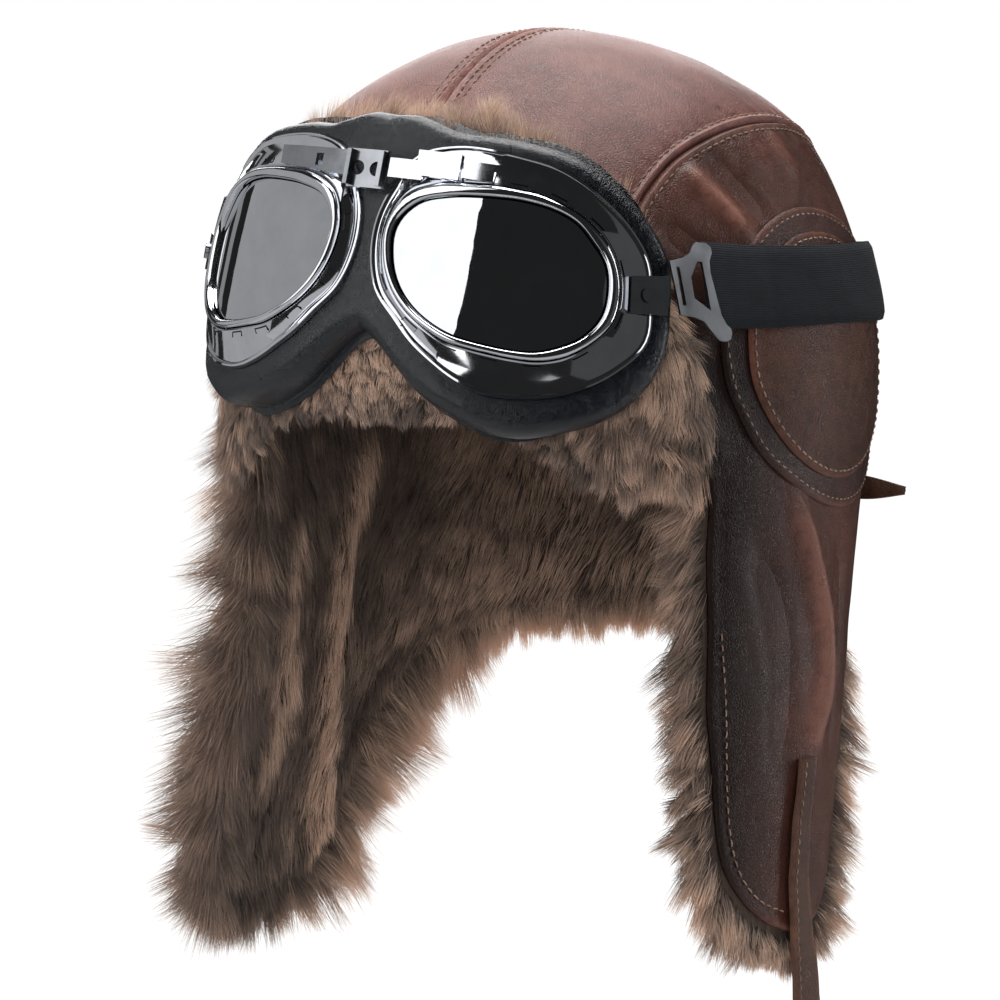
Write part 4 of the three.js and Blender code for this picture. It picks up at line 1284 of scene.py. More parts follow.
class GoggleSpace:
    """The goggles' own frame: u runs round the face, v up and w out of it."""

    def __init__(self) -> None:
        """Sets the frame on the brow."""
        yaw = Euler((0, math.radians(GOGGLE_TURN[1]), 0)).to_matrix()
        lean = Euler((math.radians(GOGGLE_TURN[0]), 0, 0)).to_matrix()
        self.turn = np.array(lean @ yaw)
        self.place = np.array(GOGGLE_PLACE)
        self.table = np.array(EYE_ROWS, float)

    def wrap(self, u: Array, v: Array, w: Array) -> Array:
        """Points in space of face coordinates."""
        u, v, w = np.broadcast_arrays(np.asarray(u, float), np.asarray(v, float), np.asarray(w, float))
        angle, radius = u / WRAP_RADIUS, WRAP_RADIUS + w
        own = np.stack([radius * np.sin(angle), WRAP_RADIUS - radius * np.cos(angle), v], axis=-1)
        return own @ self.turn.T + self.place

    def unwrap(self, points: Array) -> tuple[Array, Array, Array]:
        """Face coordinates of points in space."""
        own = (points - self.place) @ self.turn
        angle = np.arctan2(own[:, 0], WRAP_RADIUS - own[:, 1])
        return angle * WRAP_RADIUS, own[:, 2], np.hypot(own[:, 0], WRAP_RADIUS - own[:, 1]) - WRAP_RADIUS

    def radii(self, angle: Array) -> Array:
        """Lens, bezel, plate and pad radius at angles round an eye, one each a row."""
        place = np.asarray(angle, float) / (360 / len(self.table))
        base = np.floor(place).astype(int)
        t = (place - base)[..., None]
        a, b, c, d = (self.table[(base + step) % len(self.table)] for step in (-1, 0, 1, 2))
        return np.moveaxis(curve_through(a, b, c, d, t), -1, 0)

    def eye(self, angle: Array, radius: Array, w: Array, side: int) -> Array:
        """Points round one eye; side is 1 for the wearer's left and -1 for the right."""
        turn = np.radians(angle)
        return self.wrap(side * (EYE_U + radius * np.cos(turn)), radius * np.sin(turn), w)

    def under_pad(self, points: Array, margin: float) -> Array:
        """Whether points lie behind or in the pad, at least a margin within its outline."""
        u, v, w = self.unwrap(points)
        across = np.abs(u) - EYE_U
        angle = np.degrees(np.arctan2(v, across)) % 360
        return (np.hypot(across, v) < self.radii(angle)[3] - margin) & (w < 3)


GOGGLES = GoggleSpace()


def brow_face(level: Array) -> Array:
    """Height of the brow flap's fur over the leather."""
    rise = np.clip((BROW_LIFT_FROM - level) / (BROW_LIFT_FROM - BROW_LIFT_TO), 0, 1)
    return BROW_THICK + BROW_LIFT * rise


def ring_faces(rows: int, width: int, around: bool, closed: bool = True) -> Array:
    """Quads between rows of points; the rows, and the run of rows, may close on themselves.

    Args:
        rows: Number of rows.
        width: Points in a row.
        around: Whether the last row joins the first.
        closed: Whether each row closes on itself.

    Returns:
        Four corner numbers a quad.
    """
    out = []
    for i in range(rows if around else rows - 1):
        for j in range(width if closed else width - 1):
            k = (j + 1) % width
            following = (i + 1) % rows
            out.append((i * width + j, i * width + k, following * width + k, following * width + j))
    return np.array(out)


def lofted(rows: Sequence[Array], around: bool = True, closed: bool = True) -> tuple[Array, Array]:
    """Points and quads of a skin through the long edges of a piece."""
    points = np.stack(rows, axis=1)
    return points.reshape(-1, 3), ring_faces(*points.shape[:2], around, closed)


def facing_out(points: Array, faces: list[Array]) -> list[Array]:
    """Turns all faces over if the closed skin's volume comes out negative.

    Args:
        points: Corners.
        faces: Arrays of corner numbers.

    Returns:
        The faces, turned over or not.
    """
    volume = 0.0
    for group in faces:
        for k in range(1, group.shape[1] - 1):
            a, b, c = points[group[:, 0]], points[group[:, k]], points[group[:, k + 1]]
            volume += np.sum(a * np.cross(b, c))
    return faces if volume > 0 else [f[:, ::-1] for f in faces]


def bar(name: str, rows: list[Array], material: Material, **rest: object) -> Piece:
    """Joins the long edges of a strap, given in order round its section, and closes both ends.

    Args:
        name: The piece's name.
        rows: Points of each long edge.
        material: Its finish.
        rest: What make_object takes besides.

    Returns:
        The object.
    """
    flat, skin = lofted(rows, False)
    width = len(rows)
    last = len(flat) - width
    caps = np.array([list(range(width - 1, -1, -1)), list(range(last, last + width))])
    return make_object(name, flat, facing_out(flat, [skin, caps]), material, **rest)


@dataclass
class EyePieces:
    """The plates, rings and lenses of the goggles."""

    steps: int = 120
    slit_count: int = 14

    def ring(self, name: str, side: int, profile: Callable, material: Material) -> Piece:
        """Lofts a profile round one eye.

        Args:
            name: The piece's name.
            side: 1 for the wearer's left, -1 for the right.
            profile: Gives (radius, w) pairs from the four radii at each angle.
            material: Its finish.

        Returns:
            The object.
        """
        angles = np.arange(self.steps) * 360 / self.steps
        flat, skin = lofted([GOGGLES.eye(angles, r, w, side) for r, w in profile(*GOGGLES.radii(angles))])
        return make_object(name, flat, facing_out(flat, [skin]), material, sharp=48)

    @staticmethod
    def plate_profile(lens: Array, bezel: Array, plate: Array, pad: Array) -> list:
        """A dished plate with a rolled outer edge."""
        middle = (bezel + plate) / 2
        return [
            (bezel + 0.4, 0.2), (bezel + 0.4, 4.3), (bezel + 1.0, 4.7), (middle, 3.3), (plate - 2.4, 1.6),
            (plate - 1.5, 1.7), (plate - 0.9, 2.3), (plate - 0.3, 2.2), (plate, 1.5), (plate, 0.2),
        ]

    @staticmethod
    def ring_profile(lens: Array, bezel: Array, plate: Array, pad: Array) -> list:
        """A half-round ring that holds the lens."""
        inner, outer = lens + 0.4, bezel
        out = [(inner, 0.2), (inner, 4.2)]
        for turn in range(0, 181, 30):
            share = (1 - math.cos(math.radians(turn))) / 2
            out.append((inner + (outer - inner) * share, 4.8 + 1.7 * math.sin(math.radians(turn))))
        return [*out, (outer, 0.2)]

    def lens(self, name: str, side: int, material: Material) -> Piece:
        """A shallow glass dome.

        Args:
            name: The piece's name.
            side: 1 for the wearer's left, -1 for the right.
            material: Its finish.

        Returns:
            The object.
        """
        angles = np.arange(self.steps) * 360 / self.steps
        radius = GOGGLES.radii(angles)[0] * 0.997
        shares = [0.02, 0.2, 0.4, 0.6, 0.8, 0.9, 1.0]
        rows = [GOGGLES.eye(angles, radius * s, 2.7 - 1.0 * s * s, side) for s in shares]
        rows += [GOGGLES.eye(angles, radius * s, 5.0 - 1.2 * s * s, side) for s in reversed(shares)]
        width = len(rows)
        flat, skin = lofted(rows, closed=False)
        middle = np.arange(self.steps) * width
        caps = np.array([middle, middle[::-1] + width - 1])
        return make_object(name, flat, facing_out(flat, [skin, caps]), material, sharp=40)

    def slits(self, name: str, side: int, material: Material) -> Piece:
        """Painted shade: dark bent bars round the ring, standing where the plate's slits lie in shade, each
        a short bar with both ends turned outwards.

        Args:
            name: The piece's name.
            side: 1 for the wearer's left, -1 for the right.
            material: Their finish.

        Returns:
            The object.
        """
        points, faces = [], []
        for slit in range(self.slit_count):
            middle = (slit + 0.5) * 360 / self.slit_count
            bezel, plate = GOGGLES.radii(np.array([middle]))[1:3, 0]
            reach = math.degrees(2.7 / (bezel + 2))
            angles = middle + np.array([-1, -1, -0.5, 0, 0.5, 1, 1]) * reach
            out = np.array([1.9, 0.5, 0.5, 0.5, 0.5, 0.5, 1.9]) + 1.2
            base = GOGGLES.radii(angles)[1] + out
            dish = 4.7 - 1.4 * np.clip((out - 1.0) / ((plate - bezel) / 2), 0, 1)
            section = ((-0.22, 0.12), (0.22, 0.08), (0.22, -0.9), (-0.22, -0.9))
            flat, body = lofted([GOGGLES.eye(angles, base + r, dish + w, side) for r, w in section], False)
            end = len(flat) - 4
            caps = np.array([[0, 3, 2, 1], [end, end + 1, end + 2, end + 3]])
            faces.append(facing_out(flat, [np.vstack([body, caps])])[0] + len(points) * len(flat))
            points.append(flat)
        return make_object(name, np.vstack(points), [np.vstack(faces)], material, sharp=30)

    def build(self, chrome: Material, mirror: Material, dark: Material) -> None:
        """Builds both eyes.

        Args:
            chrome: Finish of plates and rings.
            mirror: Finish of the lenses.
            dark: Finish of the dark bars that paint the slits' shade.
        """
        for hand, side in (("left", 1), ("right", -1)):
            plate = self.ring("goggle_plate_" + hand, side, self.plate_profile, chrome)
            settle(plate, ["frame_plate_" + hand])
            ring = self.ring("goggle_ring_" + hand, side, self.ring_profile, chrome)
            settle(ring, ["lens_ring_" + hand])
            settle(self.lens("goggle_lens_" + hand, side, mirror), ["lens_" + hand])
            settle(self.slits("goggle_slit_shade_" + hand, side, dark), ())


@dataclass
class GogglePad:
    """The soft black frame behind the plates, in one piece across the nose."""

    steps: int = 72
    voxel: float = 1.6
    smoothing: int = 5

    def build(self, material: Material) -> None:
        """Builds both halves, grows them together and seats them on the brow.

        Args:
            material: The pad's finish.
        """
        angles = np.arange(self.steps) * 360 / self.steps
        lens, bezel, plate, pad = GOGGLES.radii(angles)
        profile = [
            (lens + 2, -0.4), (plate + 0.3, -0.4), (plate + 1.6, 0.7), (pad - 4.0, 0.7), (pad - 1.5, -1.4),
            (pad - 0.1, -5.0), (pad, -9.0), (pad - 1.5, -16.0), (pad - 1.0, -PAD_DEPTH),
            (lens + 2, -PAD_DEPTH),
        ]
        points, faces = [], []
        for side in (1, -1):
            flat, body = lofted([GOGGLES.eye(angles, r, w, side) for r, w in profile])
            faces.append(facing_out(flat, [body])[0] + len(points) * len(flat))
            points.append(flat)
        rough = make_object("pad_rough", np.vstack(points), [np.vstack(faces)], material)
        grow = rough.modifiers.new("grow", "REMESH")
        grow.mode, grow.voxel_size, grow.use_smooth_shade = "VOXEL", self.voxel * MM, True
        relax = rough.modifiers.new("relax", "SMOOTH")
        relax.factor, relax.iterations = 0.5, self.smoothing
        bpy.context.view_layer.update()
        evaluated = rough.evaluated_get(bpy.context.evaluated_depsgraph_get())
        mesh = bpy.data.meshes.new_from_object(evaluated)
        bpy.data.objects.remove(rough)
        self.seated(mesh)
        mesh.name = "goggle_padding"
        piece = placed("goggle_padding", mesh)
        mesh.materials.clear()
        mesh.materials.append(material)
        mesh.shade_smooth()
        settle(piece, ["goggle_pad"])

    @staticmethod
    def seated(mesh: bpy.types.Mesh) -> None:
        """Presses the padding's back flat on the fur.

        Args:
            mesh: The padding.
        """
        points = np.zeros(len(mesh.vertices) * 3)
        mesh.vertices.foreach_get("co", points)
        points = points.reshape(-1, 3) / MM
        theta, level, offset = FORM.offset_of(points)
        floor = brow_face(level) + SEAT_GAP
        sunk = offset < floor
        points[sunk] = FORM.point(theta[sunk], level[sunk], floor[sunk])
        mesh.vertices.foreach_set("co", (points * MM).astype(np.float32).ravel())
        mesh.update()


def rectangle(left: float, bottom: float, right: float, top: float) -> list[tuple[float, float]]:
    """Corners of a rectangle."""
    return [(left, bottom), (right, bottom), (right, top), (left, top)]


def circle(x: float, y: float, radius: float, count: int = 24) -> list[tuple[float, float]]:
    """Corners of a round outline."""
    turns = [2 * math.pi * i / count for i in range(count)]
    return [(x + radius * math.cos(t), y + radius * math.sin(t)) for t in turns]


@dataclass(frozen=True)
class MetalPlate:
    """A flat metal shape with holes and softened edges, bent to what carries it."""

    corners: Sequence[tuple[float, float]]
    low: float
    high: float
    holes: Sequence[Sequence[tuple[float, float]]] = ()
    soften: float = 0.22

    def mesh(self, bend: Callable[[Array, Array, Array], Array]) -> tuple[Array, list[list[int]]]:
        """Cuts, softens and bends the plate.

        Args:
            bend: Turns flat x, y and height into points in space.

        Returns:
            Points in millimetres and faces.
        """
        loops = [self.divided(self.corners), *[self.divided(h) for h in self.holes]]
        xy, faces = triangulated(loops, np.zeros((0, 2)))
        count = len(xy)
        rim = rim_edges(faces)
        work = bmesh.new()
        for height in (self.high, self.low):
            for x, y in xy:
                work.verts.new((x, y, height))
        work.verts.ensure_lookup_table()
        for a, b, c in faces:
            work.faces.new([work.verts[i] for i in (a, b, c)])
            work.faces.new([work.verts[i + count] for i in (c, b, a)])
        for a, b in rim:
            work.faces.new([work.verts[i] for i in (a, a + count, b + count, b)])
        sharp = [e for e in work.edges if e.calc_face_angle(0) > math.radians(35)]
        bmesh.ops.bevel(work, geom=sharp, offset=self.soften, segments=2, affect="EDGES", clamp_overlap=True)
        bmesh.ops.recalc_face_normals(work, faces=work.faces)
        flat = np.array([tuple(v.co) for v in work.verts])
        work.verts.index_update()
        out = [[v.index for v in f.verts] for f in work.faces]
        work.free()
        return bend(flat[:, 0], flat[:, 1], flat[:, 2]), out

    @staticmethod
    def divided(corners: Sequence[tuple[float, float]]) -> Array:
        """The outline with long sides cut into shorter ones."""
        out = []
        for (x0, y0), (x1, y1) in zip(corners, [*corners[1:], corners[0]]):
            steps = max(1, int(math.hypot(x1 - x0, y1 - y0) / 2.5))
            out += [(x0 + (x1 - x0) * i / steps, y0 + (y1 - y0) * i / steps) for i in range(steps)]
        return np.array(out)


def plate_object(name: str, plates: Sequence[MetalPlate], bend: Callable, material: Material) -> Piece:
    """Makes one object of one or more bent plates.

    Args:
        name: The piece's name.
        plates: The flat plates.
        bend: Turns flat x, y and height into points in space.
        material: Its finish.

    Returns:
        The object.
    """
    points, faces, start = [], [], 0
    for plate in plates:
        these, sides = plate.mesh(bend)
        points.append(these)
        faces += [[i + start for i in side] for side in sides]
        start += len(these)
    mesh = bpy.data.meshes.new(name)
    mesh.from_pydata([tuple(p) for p in np.vstack(points) * MM], [], faces)
    check = bmesh.new()
    check.from_mesh(mesh)
    bmesh.ops.recalc_face_normals(check, faces=check.faces)
    check.to_mesh(mesh)
    check.free()
    mesh.shade_smooth()
    mesh.set_sharp_from_angle(angle=math.radians(35))
    mesh.materials.append(material)
    return placed(name, mesh)


# Strap's distance from the leather along its way: angle, wearer's left, wearer's right
STRAP_ROWS = (
    (45, 25, 15), (51, 18, 11), (55, 14.5, 9.8), (58, 12.2, 9), (62, 9.2, 8), (66, 7, 6.6), (72, 5, 5),
    (108, 4.8, 4.8), (120, 3.9, 3.9), (131, 2.6, 2.6), (138, 0.9, 0.9), (181, 0.7, 0.7),
)


@dataclass
class StrapAndBuckles:
    """The elastic strap round the back of the hat, with a wire-cut buckle at each end."""

    height: float = 25.0
    thick: float = 1.4
    middle_z: float = 40.0
    rise: float = 18.0
    start: float = 56.5
    end: float = 302.5
    buckle_theta: float = 51.0
    mm_per_degree: float = 2.1
    outline: tuple = (
        (-4, 5.4), (-1, 6.1), (2, 6.8), (4.6, 8.2), (6.0, 10.2), (7.6, 11.4), (12.4, 11.5), (14.4, 10.4),
        (14.5, 8.8), (13, 6.4), (12.9, 3), (14.4, -3), (16.2, -9), (18.4, -11.6), (20.2, -12.6),
        (20.6, -14.2), (19.8, -15.8), (17.6, -16.4), (14.6, -16.1), (11.4, -13.4), (8.4, -10.6), (4, -9.4),
        (-1, -9),
    )
    slot: tuple = ((-1.6, 4), (-0.2, 4), (1.5, -6.5), (0.1, -6.5))
    hole: tuple = ((7.4, 6), (9.6, 6), (11.6, -7.8), (5, -4.5), (4.2, 1.3))

    def offset(self, theta: Array) -> Array:
        """Distance of the strap's inner face from the leather."""
        turns, left, right = np.array(STRAP_ROWS, float).T
        turn = np.minimum(theta, 360 - theta)
        return np.where(theta < 180, np.interp(turn, turns, left), np.interp(turn, turns, right))

    def at(self, theta: Array, up: Array, w: Array) -> Array:
        """A point of the strap by angle, height over its middle line and distance from its inner face."""
        theta, up, w = np.broadcast_arrays(*(np.asarray(a, float) for a in (theta, up, w)))
        z = self.middle_z + self.rise * smoothstep(200, 300, theta) + up
        return FORM.point(theta, FORM.level_of(z), self.offset(theta) + w)

    def strap(self, material: Material) -> Piece:
        """The webbing, with rounded edges and faint waves.

        Args:
            material: Its finish.

        Returns:
            The object.
        """
        half, thick, steps = self.height / 2, self.thick, 300
        thetas = np.linspace(self.start, self.end, steps)
        across = np.linspace(-1, 1, 13)
        section = [(u, 1.0 - 0.55 * abs(u) ** 14) for u in across]
        section += [(u, 0.45 * abs(u) ** 14) for u in across[::-1]]
        rows, weave = [], []
        for u, share in section:
            wave = 0.25 * np.sin(np.radians(thetas) * 17 + 2.5 * u) * (1 - 0.3 * abs(u))
            squeeze = 1 - 0.02 * np.sin(np.radians(thetas) * 9)
            rows.append(self.at(thetas, u * half * squeeze, share * thick + 0.25 + wave * 0.6))
            weave.append(np.column_stack([thetas * 1.85, np.full(steps, u * half), np.zeros(steps)]))
        path = lofted(weave, False)[0]
        return bar("elastic_strap", rows, material, facts={"path": path}, sharp=40)

    def build(self, elastic: Material, steel: Material) -> None:
        """Builds the strap and both buckles.

        Args:
            elastic: Finish of the strap.
            steel: Finish of the buckles.
        """
        settle(self.strap(elastic), ["goggle_strap"])
        plate = MetalPlate(self.outline, 1.9, 3.2, (self.slot, self.hole), 0.3)
        for hand in ("left", "right"):

            def bend(x: Array, y: Array, w: Array, hand: str = hand) -> Array:
                """Lays the buckle on the strap's path."""
                turn = self.buckle_theta + x / self.mm_per_degree
                return self.at(turn if hand == "left" else 360 - turn, y, w)

            settle(plate_object("steel_buckle_" + hand, [plate], bend, steel), ["buckle_" + hand])


@dataclass
class BridgeAndLugs:
    """The metal parts on the goggles' face: the adjustable bridge and the strap's lugs with their rivets."""

    back: float = 4.9
    face: float = 6.2
    far_arm: tuple = ((-38, 27.6), (-30, 26.4), (-24, 26), (-8.2, 24.3), (-8.2, 32.6), (-38, 33.6))
    lug: tuple = ((86.5, 6.4), (99, 9), (100, -3.6), (88, -5.2))

    def build(self, chrome: Material, bright: Material) -> None:
        """Builds the bridge parts, lugs and rivets.

        Args:
            chrome: Finish of the near arm and the square plate.
            bright: Finish of the rest.
        """
        on_face = GOGGLES.wrap
        arm = MetalPlate(self.far_arm, self.back, self.face, [rectangle(-21.5, 27, -18.5, 31)])
        settle(plate_object("bridge_arm_far", [arm], on_face, bright), ["bridge_arm_right"])
        holes = [circle(x, 27.0, 2.4) for x in (-4.4, 2.4)]
        body = MetalPlate(rectangle(-7.6, 20.8, 5.4, 33.2), self.back, self.face, holes)
        flanges = [MetalPlate(rectangle(x, 21.3, x + 1.5, 32.7), 5.5, 8.6) for x in (-7.6, 3.9)]
        settle(plate_object("bridge_slide", [body, *flanges], on_face, bright), ["bridge_adjuster"])
        near = [
            MetalPlate(rectangle(6, 25, 18, 31.2), self.back, self.face),
            MetalPlate(rectangle(16.5, 26.2, 30, 34.4), self.back, 8, soften=0.4),
        ]
        settle(plate_object("bridge_arm_near", near, on_face, chrome), ["bridge_arm_left"])
        square = MetalPlate(rectangle(30.8, 27.4, 40, 33), self.back, 6.8)
        settle(plate_object("bridge_square", [square], on_face, chrome), ["bridge_plate"])
        for hand, side in (("left", 1), ("right", -1)):

            def bend(x: Array, y: Array, w: Array, side: int = side) -> Array:
                """Lays a part on one side of the face."""
                return GOGGLES.wrap(side * x, y, w)

            lug = MetalPlate(self.lug, 4.5, 5.7, [circle(93, 1.6, 2.2)])
            settle(plate_object("strap_lug_" + hand, [lug], bend, bright), ["lug_" + hand])
            rivet = MetalPlate(circle(93, 1.6, 2.6), 5.75, 6.9, soften=0.5)
            stem = MetalPlate(circle(93, 1.6, 1.9), 4.3, 6.2)
            made = plate_object("lug_rivet_" + hand, [rivet, stem], bend, bright)
            settle(made, ["rivet_" + hand])


@dataclass(frozen=True)
class Coat:
    """How strands stand: strands in a tuft, width, rise of each half, gathering, spread and unevenness."""

    tuft: int = 60
    width: float = 0.24
    rise: tuple[float, float] = (0.5, 0.08)
    gather: float = 0.4
    wild: float = 0.2
    stray: float = 0.1
    uneven: float = 0.12


class Fur:
    """Grows strands as thin tapered blades, bunched into tufts."""

    def __init__(self, material: Material) -> None:
        """Takes the fur's finish."""
        self.material = material

    def grow(
        self, name: str, roots: Array, normals: Array, lays: Array, lengths: Array, tints: Array,
        coat: Coat, seed: int,
    ) -> Piece:
        """Grows one piece of fur.

        Args:
            name: The piece's name.
            roots: Where strands start, in millimetres.
            normals: Directions out of the skin there.
            lays: Directions that the strands lie down in.
            lengths: Length of each strand.
            tints: Paleness of each strand, about 0 to 1.
            coat: How the strands stand.
            seed: Fixes the random draws.

        Returns:
            The fur as one object.
        """
        rng = np.random.default_rng(seed)
        count = len(roots)
        leaders = rng.permutation(count)[: max(1, count // coat.tuft)]
        _, nearest = Nearest(roots[leaders]).find(roots)
        leader = leaders[nearest]
        spread = rng.normal(0, coat.wild, (count, 3))[leader]
        reach = rng.uniform(1 - 2 * coat.uneven, 1 + 2 * coat.uneven, count)[leader]
        tone = rng.normal(0, coat.uneven, count)[leader]
        own = rng.normal(0, coat.stray, (count, 3))
        lay = unit(lays + spread + own)
        length = lengths * reach * rng.uniform(0.8, 1.12, count)
        first = unit(normals * coat.rise[0] + lay * (1 - coat.rise[0]) + own)
        second = unit(normals * coat.rise[1] + lay)
        middle = roots + first * length[:, None] * 0.42
        tip = middle + second * length[:, None] * 0.62
        bundle = rng.uniform(0.6, 1.0, count)[:, None] * coat.gather
        away = roots - roots[leader]
        middle = blend(middle, middle[leader] + away * 0.75, bundle * 0.6)
        tip = blend(tip, tip[leader] + away * 0.3, bundle)
        roll = rng.normal(0, 0.5, count)[:, None]
        side = unit(np.cross(second, normals))
        side = unit(side * np.cos(roll) + np.cross(second, side) * np.sin(roll))
        half = side * (coat.width / 2) * rng.uniform(0.7, 1.25, count)[:, None]
        waist = half * 0.85
        points = np.stack([roots - half, roots + half, middle - waist, middle + waist, tip], axis=1)
        base = np.arange(count)[:, None] * 5
        quads = base + np.array([[0, 1, 3, 2]])
        ends = base + np.array([[2, 3, 4]])
        along = np.tile(np.array([0.0, 0.0, 0.55, 0.55, 1.0]), count)
        shade = np.repeat(np.clip(tints + tone + rng.normal(0, 0.05, count), 0.05, 1.35), 5)
        facts = {"along": along, "tint": shade}
        return make_object(name, points.reshape(-1, 3), [quads, ends], self.material, facts)


def scattered(rng: np.random.Generator, loop: Array, count: int, test: Callable[[Array], Array]) -> Array:
    """Flat places spread evenly over the real surface within a loop of the unrolled chart.

    Args:
        rng: The random source.
        loop: The loop's flat points.
        count: Places wanted.
        test: Says which flat places belong to the piece.

    Returns:
        Flat places.
    """
    batch = 60000
    low, high = loop.min(axis=0), loop.max(axis=0)
    kept = []
    while sum(len(k) for k in kept) < count:
        spread = []
        while sum(len(k) for k in spread) < batch:
            xy = rng.uniform(low, high, (batch, 2))
            side, length = FORM.columns(Chart.WALL.polar(xy)[1])[[1, 3]]
            true_width = (side + length) / 2 / WALL_RADIUS
            spread.append(xy[(rng.uniform(0, 1.1, batch) < true_width) & inside(xy, loop)])
        xy = np.vstack(spread)[:batch]
        kept.append(xy[test(xy)])
    return np.vstack(kept)[:count]


# Height from which the pile inside the crown is thinner, as it hardly shows there
CROWN_FROM = 35
# Flaps whose pile is grown apart from the inside's: name, strands, and the angles between which each lies
FLAP_PILES = (("fur_pile_right_flap", 50000, 215, 345), ("fur_pile_left_flap", 20000, 15, 135))


@dataclass
class Lining:
    """The fur that lines the hat and its flaps, with its backing and the fringe round its edge."""

    inside_strands: int = 32000
    fringe_strands: int = 34000
    skin_lift: float = 1.6
    coat: Coat = Coat(75, 0.28, rise=(0.45, 0.06), gather=0.28, wild=0.09, stray=0.07, uneven=0.07)
    edge_coat: Coat = Coat(tuft=65, width=0.26, rise=(0.35, 0.03), gather=0.5, wild=0.2, uneven=0.14)

    def outline(self) -> Outline:
        """The lining's edge, from the brow round both flaps and the neck."""
        rows = LINING_EDGE + mirrored_rows(LINING_EDGE)[1:]
        runs = [
            Run(rows, Edge.FREE),
            Run(((360, LINING_RIM), (360, 60), (360, 112)), Edge.HIDDEN),
            Run(((360, 112), (180, 112), (0, 112)), Edge.HIDDEN),
            Run(((0, 112), (0, 60), (0, LINING_RIM)), Edge.HIDDEN),
        ]
        return Outline(Chart.WALL, runs, 2.0)

    @staticmethod
    def ridges(points: Array) -> tuple[Array, Array]:
        """Height and paleness, a painted highlight, of the soft creases at points on the backing.

        Args:
            points: Places in millimetres.

        Returns:
            Height and paleness, one each a point.
        """
        height, pale = np.zeros(len(points)), np.zeros(len(points))
        for rows, lift, width, light in FUR_RIDGES:
            line = Chart.WALL.lifted(Chart.WALL.line(rows, 1.5), LINING_SKIN)
            both = np.vstack([line, line * [-1, 1, 1]])
            gap, index = Nearest(both).find(points)
            along = (index % len(line)) / len(line)
            share = bell(gap, 0, width) * smoothstep(0, 0.12, along) * smoothstep(0, 0.12, 1 - along)
            height = np.maximum(height, lift * share)
            pale = np.maximum(pale, light * share)
        return height, pale

    def skin(self, outline: Outline, material: Material) -> Piece:
        """The backing that the pile grows on."""
        xy, faces = triangulated([outline.xy], outline.filled(5.0, 3.0))
        theta, level = Chart.WALL.polar(xy)
        lift, _ = self.ridges(FORM.point(theta, level, LINING_SKIN))
        upper = FORM.point(theta, level, LINING_SKIN + self.skin_lift)
        lower = FORM.point(theta, level, LINING_SKIN - lift)
        return slab("fur_backing", upper, lower, faces, material)

    @staticmethod
    def part_of(xy: Array) -> Array:
        """Which pile flat places belong to: a flap's number, the inside's, or -1 where it is thinned."""
        theta, level = Chart.WALL.polar(xy)
        low = FORM.columns(level)[0] < CROWN_FROM
        part = np.where(low | (np.sin(theta * 977.0) > 0.2), len(FLAP_PILES), -1)
        for number, (_, _, start, end) in enumerate(FLAP_PILES):
            part[low & (theta % 360 > start) & (theta % 360 < end)] = number
        return part

    def pile(self, fur: Fur, outline: Outline) -> None:
        """The pile of both flaps and of the head's inside.

        Args:
            fur: Grows the strands.
            outline: The lining's outline.
        """
        rng = np.random.default_rng(11)
        free = outline.edges == Edge.FREE.value
        nearest = Nearest(outline.points[free])
        outward = -outline.inwards[free]
        parts = [(name, wanted, ()) for name, wanted, _, _ in FLAP_PILES]
        parts.append(("fur_pile_inside", self.inside_strands, ("fur_lining",)))
        for part, (name, wanted, nodes) in enumerate(parts):
            xy = scattered(rng, outline.xy, wanted, lambda xy, part=part: self.part_of(xy) == part)
            theta, level = Chart.WALL.polar(xy)
            z = FORM.columns(level)[0]
            gap, index = nearest.find(FORM.point(theta, level))
            lift, pale = self.ridges(FORM.point(theta, level, LINING_SKIN))
            roots = FORM.point(theta, level, LINING_SKIN - lift)
            out, down, around = FORM.axes(theta, level)
            hand = np.where(theta > 180, 1, -1)
            off_ridge = np.where(theta > 180, theta - 256, 104 - theta)
            sway = 0.3 * np.tanh(off_ridge / 12) * hand
            wave = 0.14 * np.sin(z / 11 + theta / 9)
            lay = down + around * ((sway + wave) * (z < 0))[:, None]
            lay = unit(lay + outward[index] * (bell(gap, 0, 9) * 0.55)[:, None])
            length = 13.0 - 4.0 * bell(gap, 0, 8)
            length = np.where(z > 25, 10.0, length) * np.where(gap < 3.0, 0.6, 1.0)
            # Painted shade: the pile in a groove some way in from the flaps' edges is darkened.
            groove = bell(gap, 7.5, 2.2) * smoothstep(-60, -100, z)
            # Painted light: the pile deep inside the hat is made paler, where it would lie in shade; the
            # creases' paleness is a painted highlight.
            painted_light_inside = 0.42 * (1 - smoothstep(222, 250, np.where(theta > 180, theta, 360 - theta)))
            tint = 0.5 + painted_light_inside + 1.05 * pale + 0.16 * soft_noise(roots, 26, 4.0) + 0.12 * bell(gap, 16, 7)
            tint -= 0.4 * groove
            made = fur.grow(name, roots, -out, lay, length, tint, self.coat, 20 + part)
            settle(made, nodes)

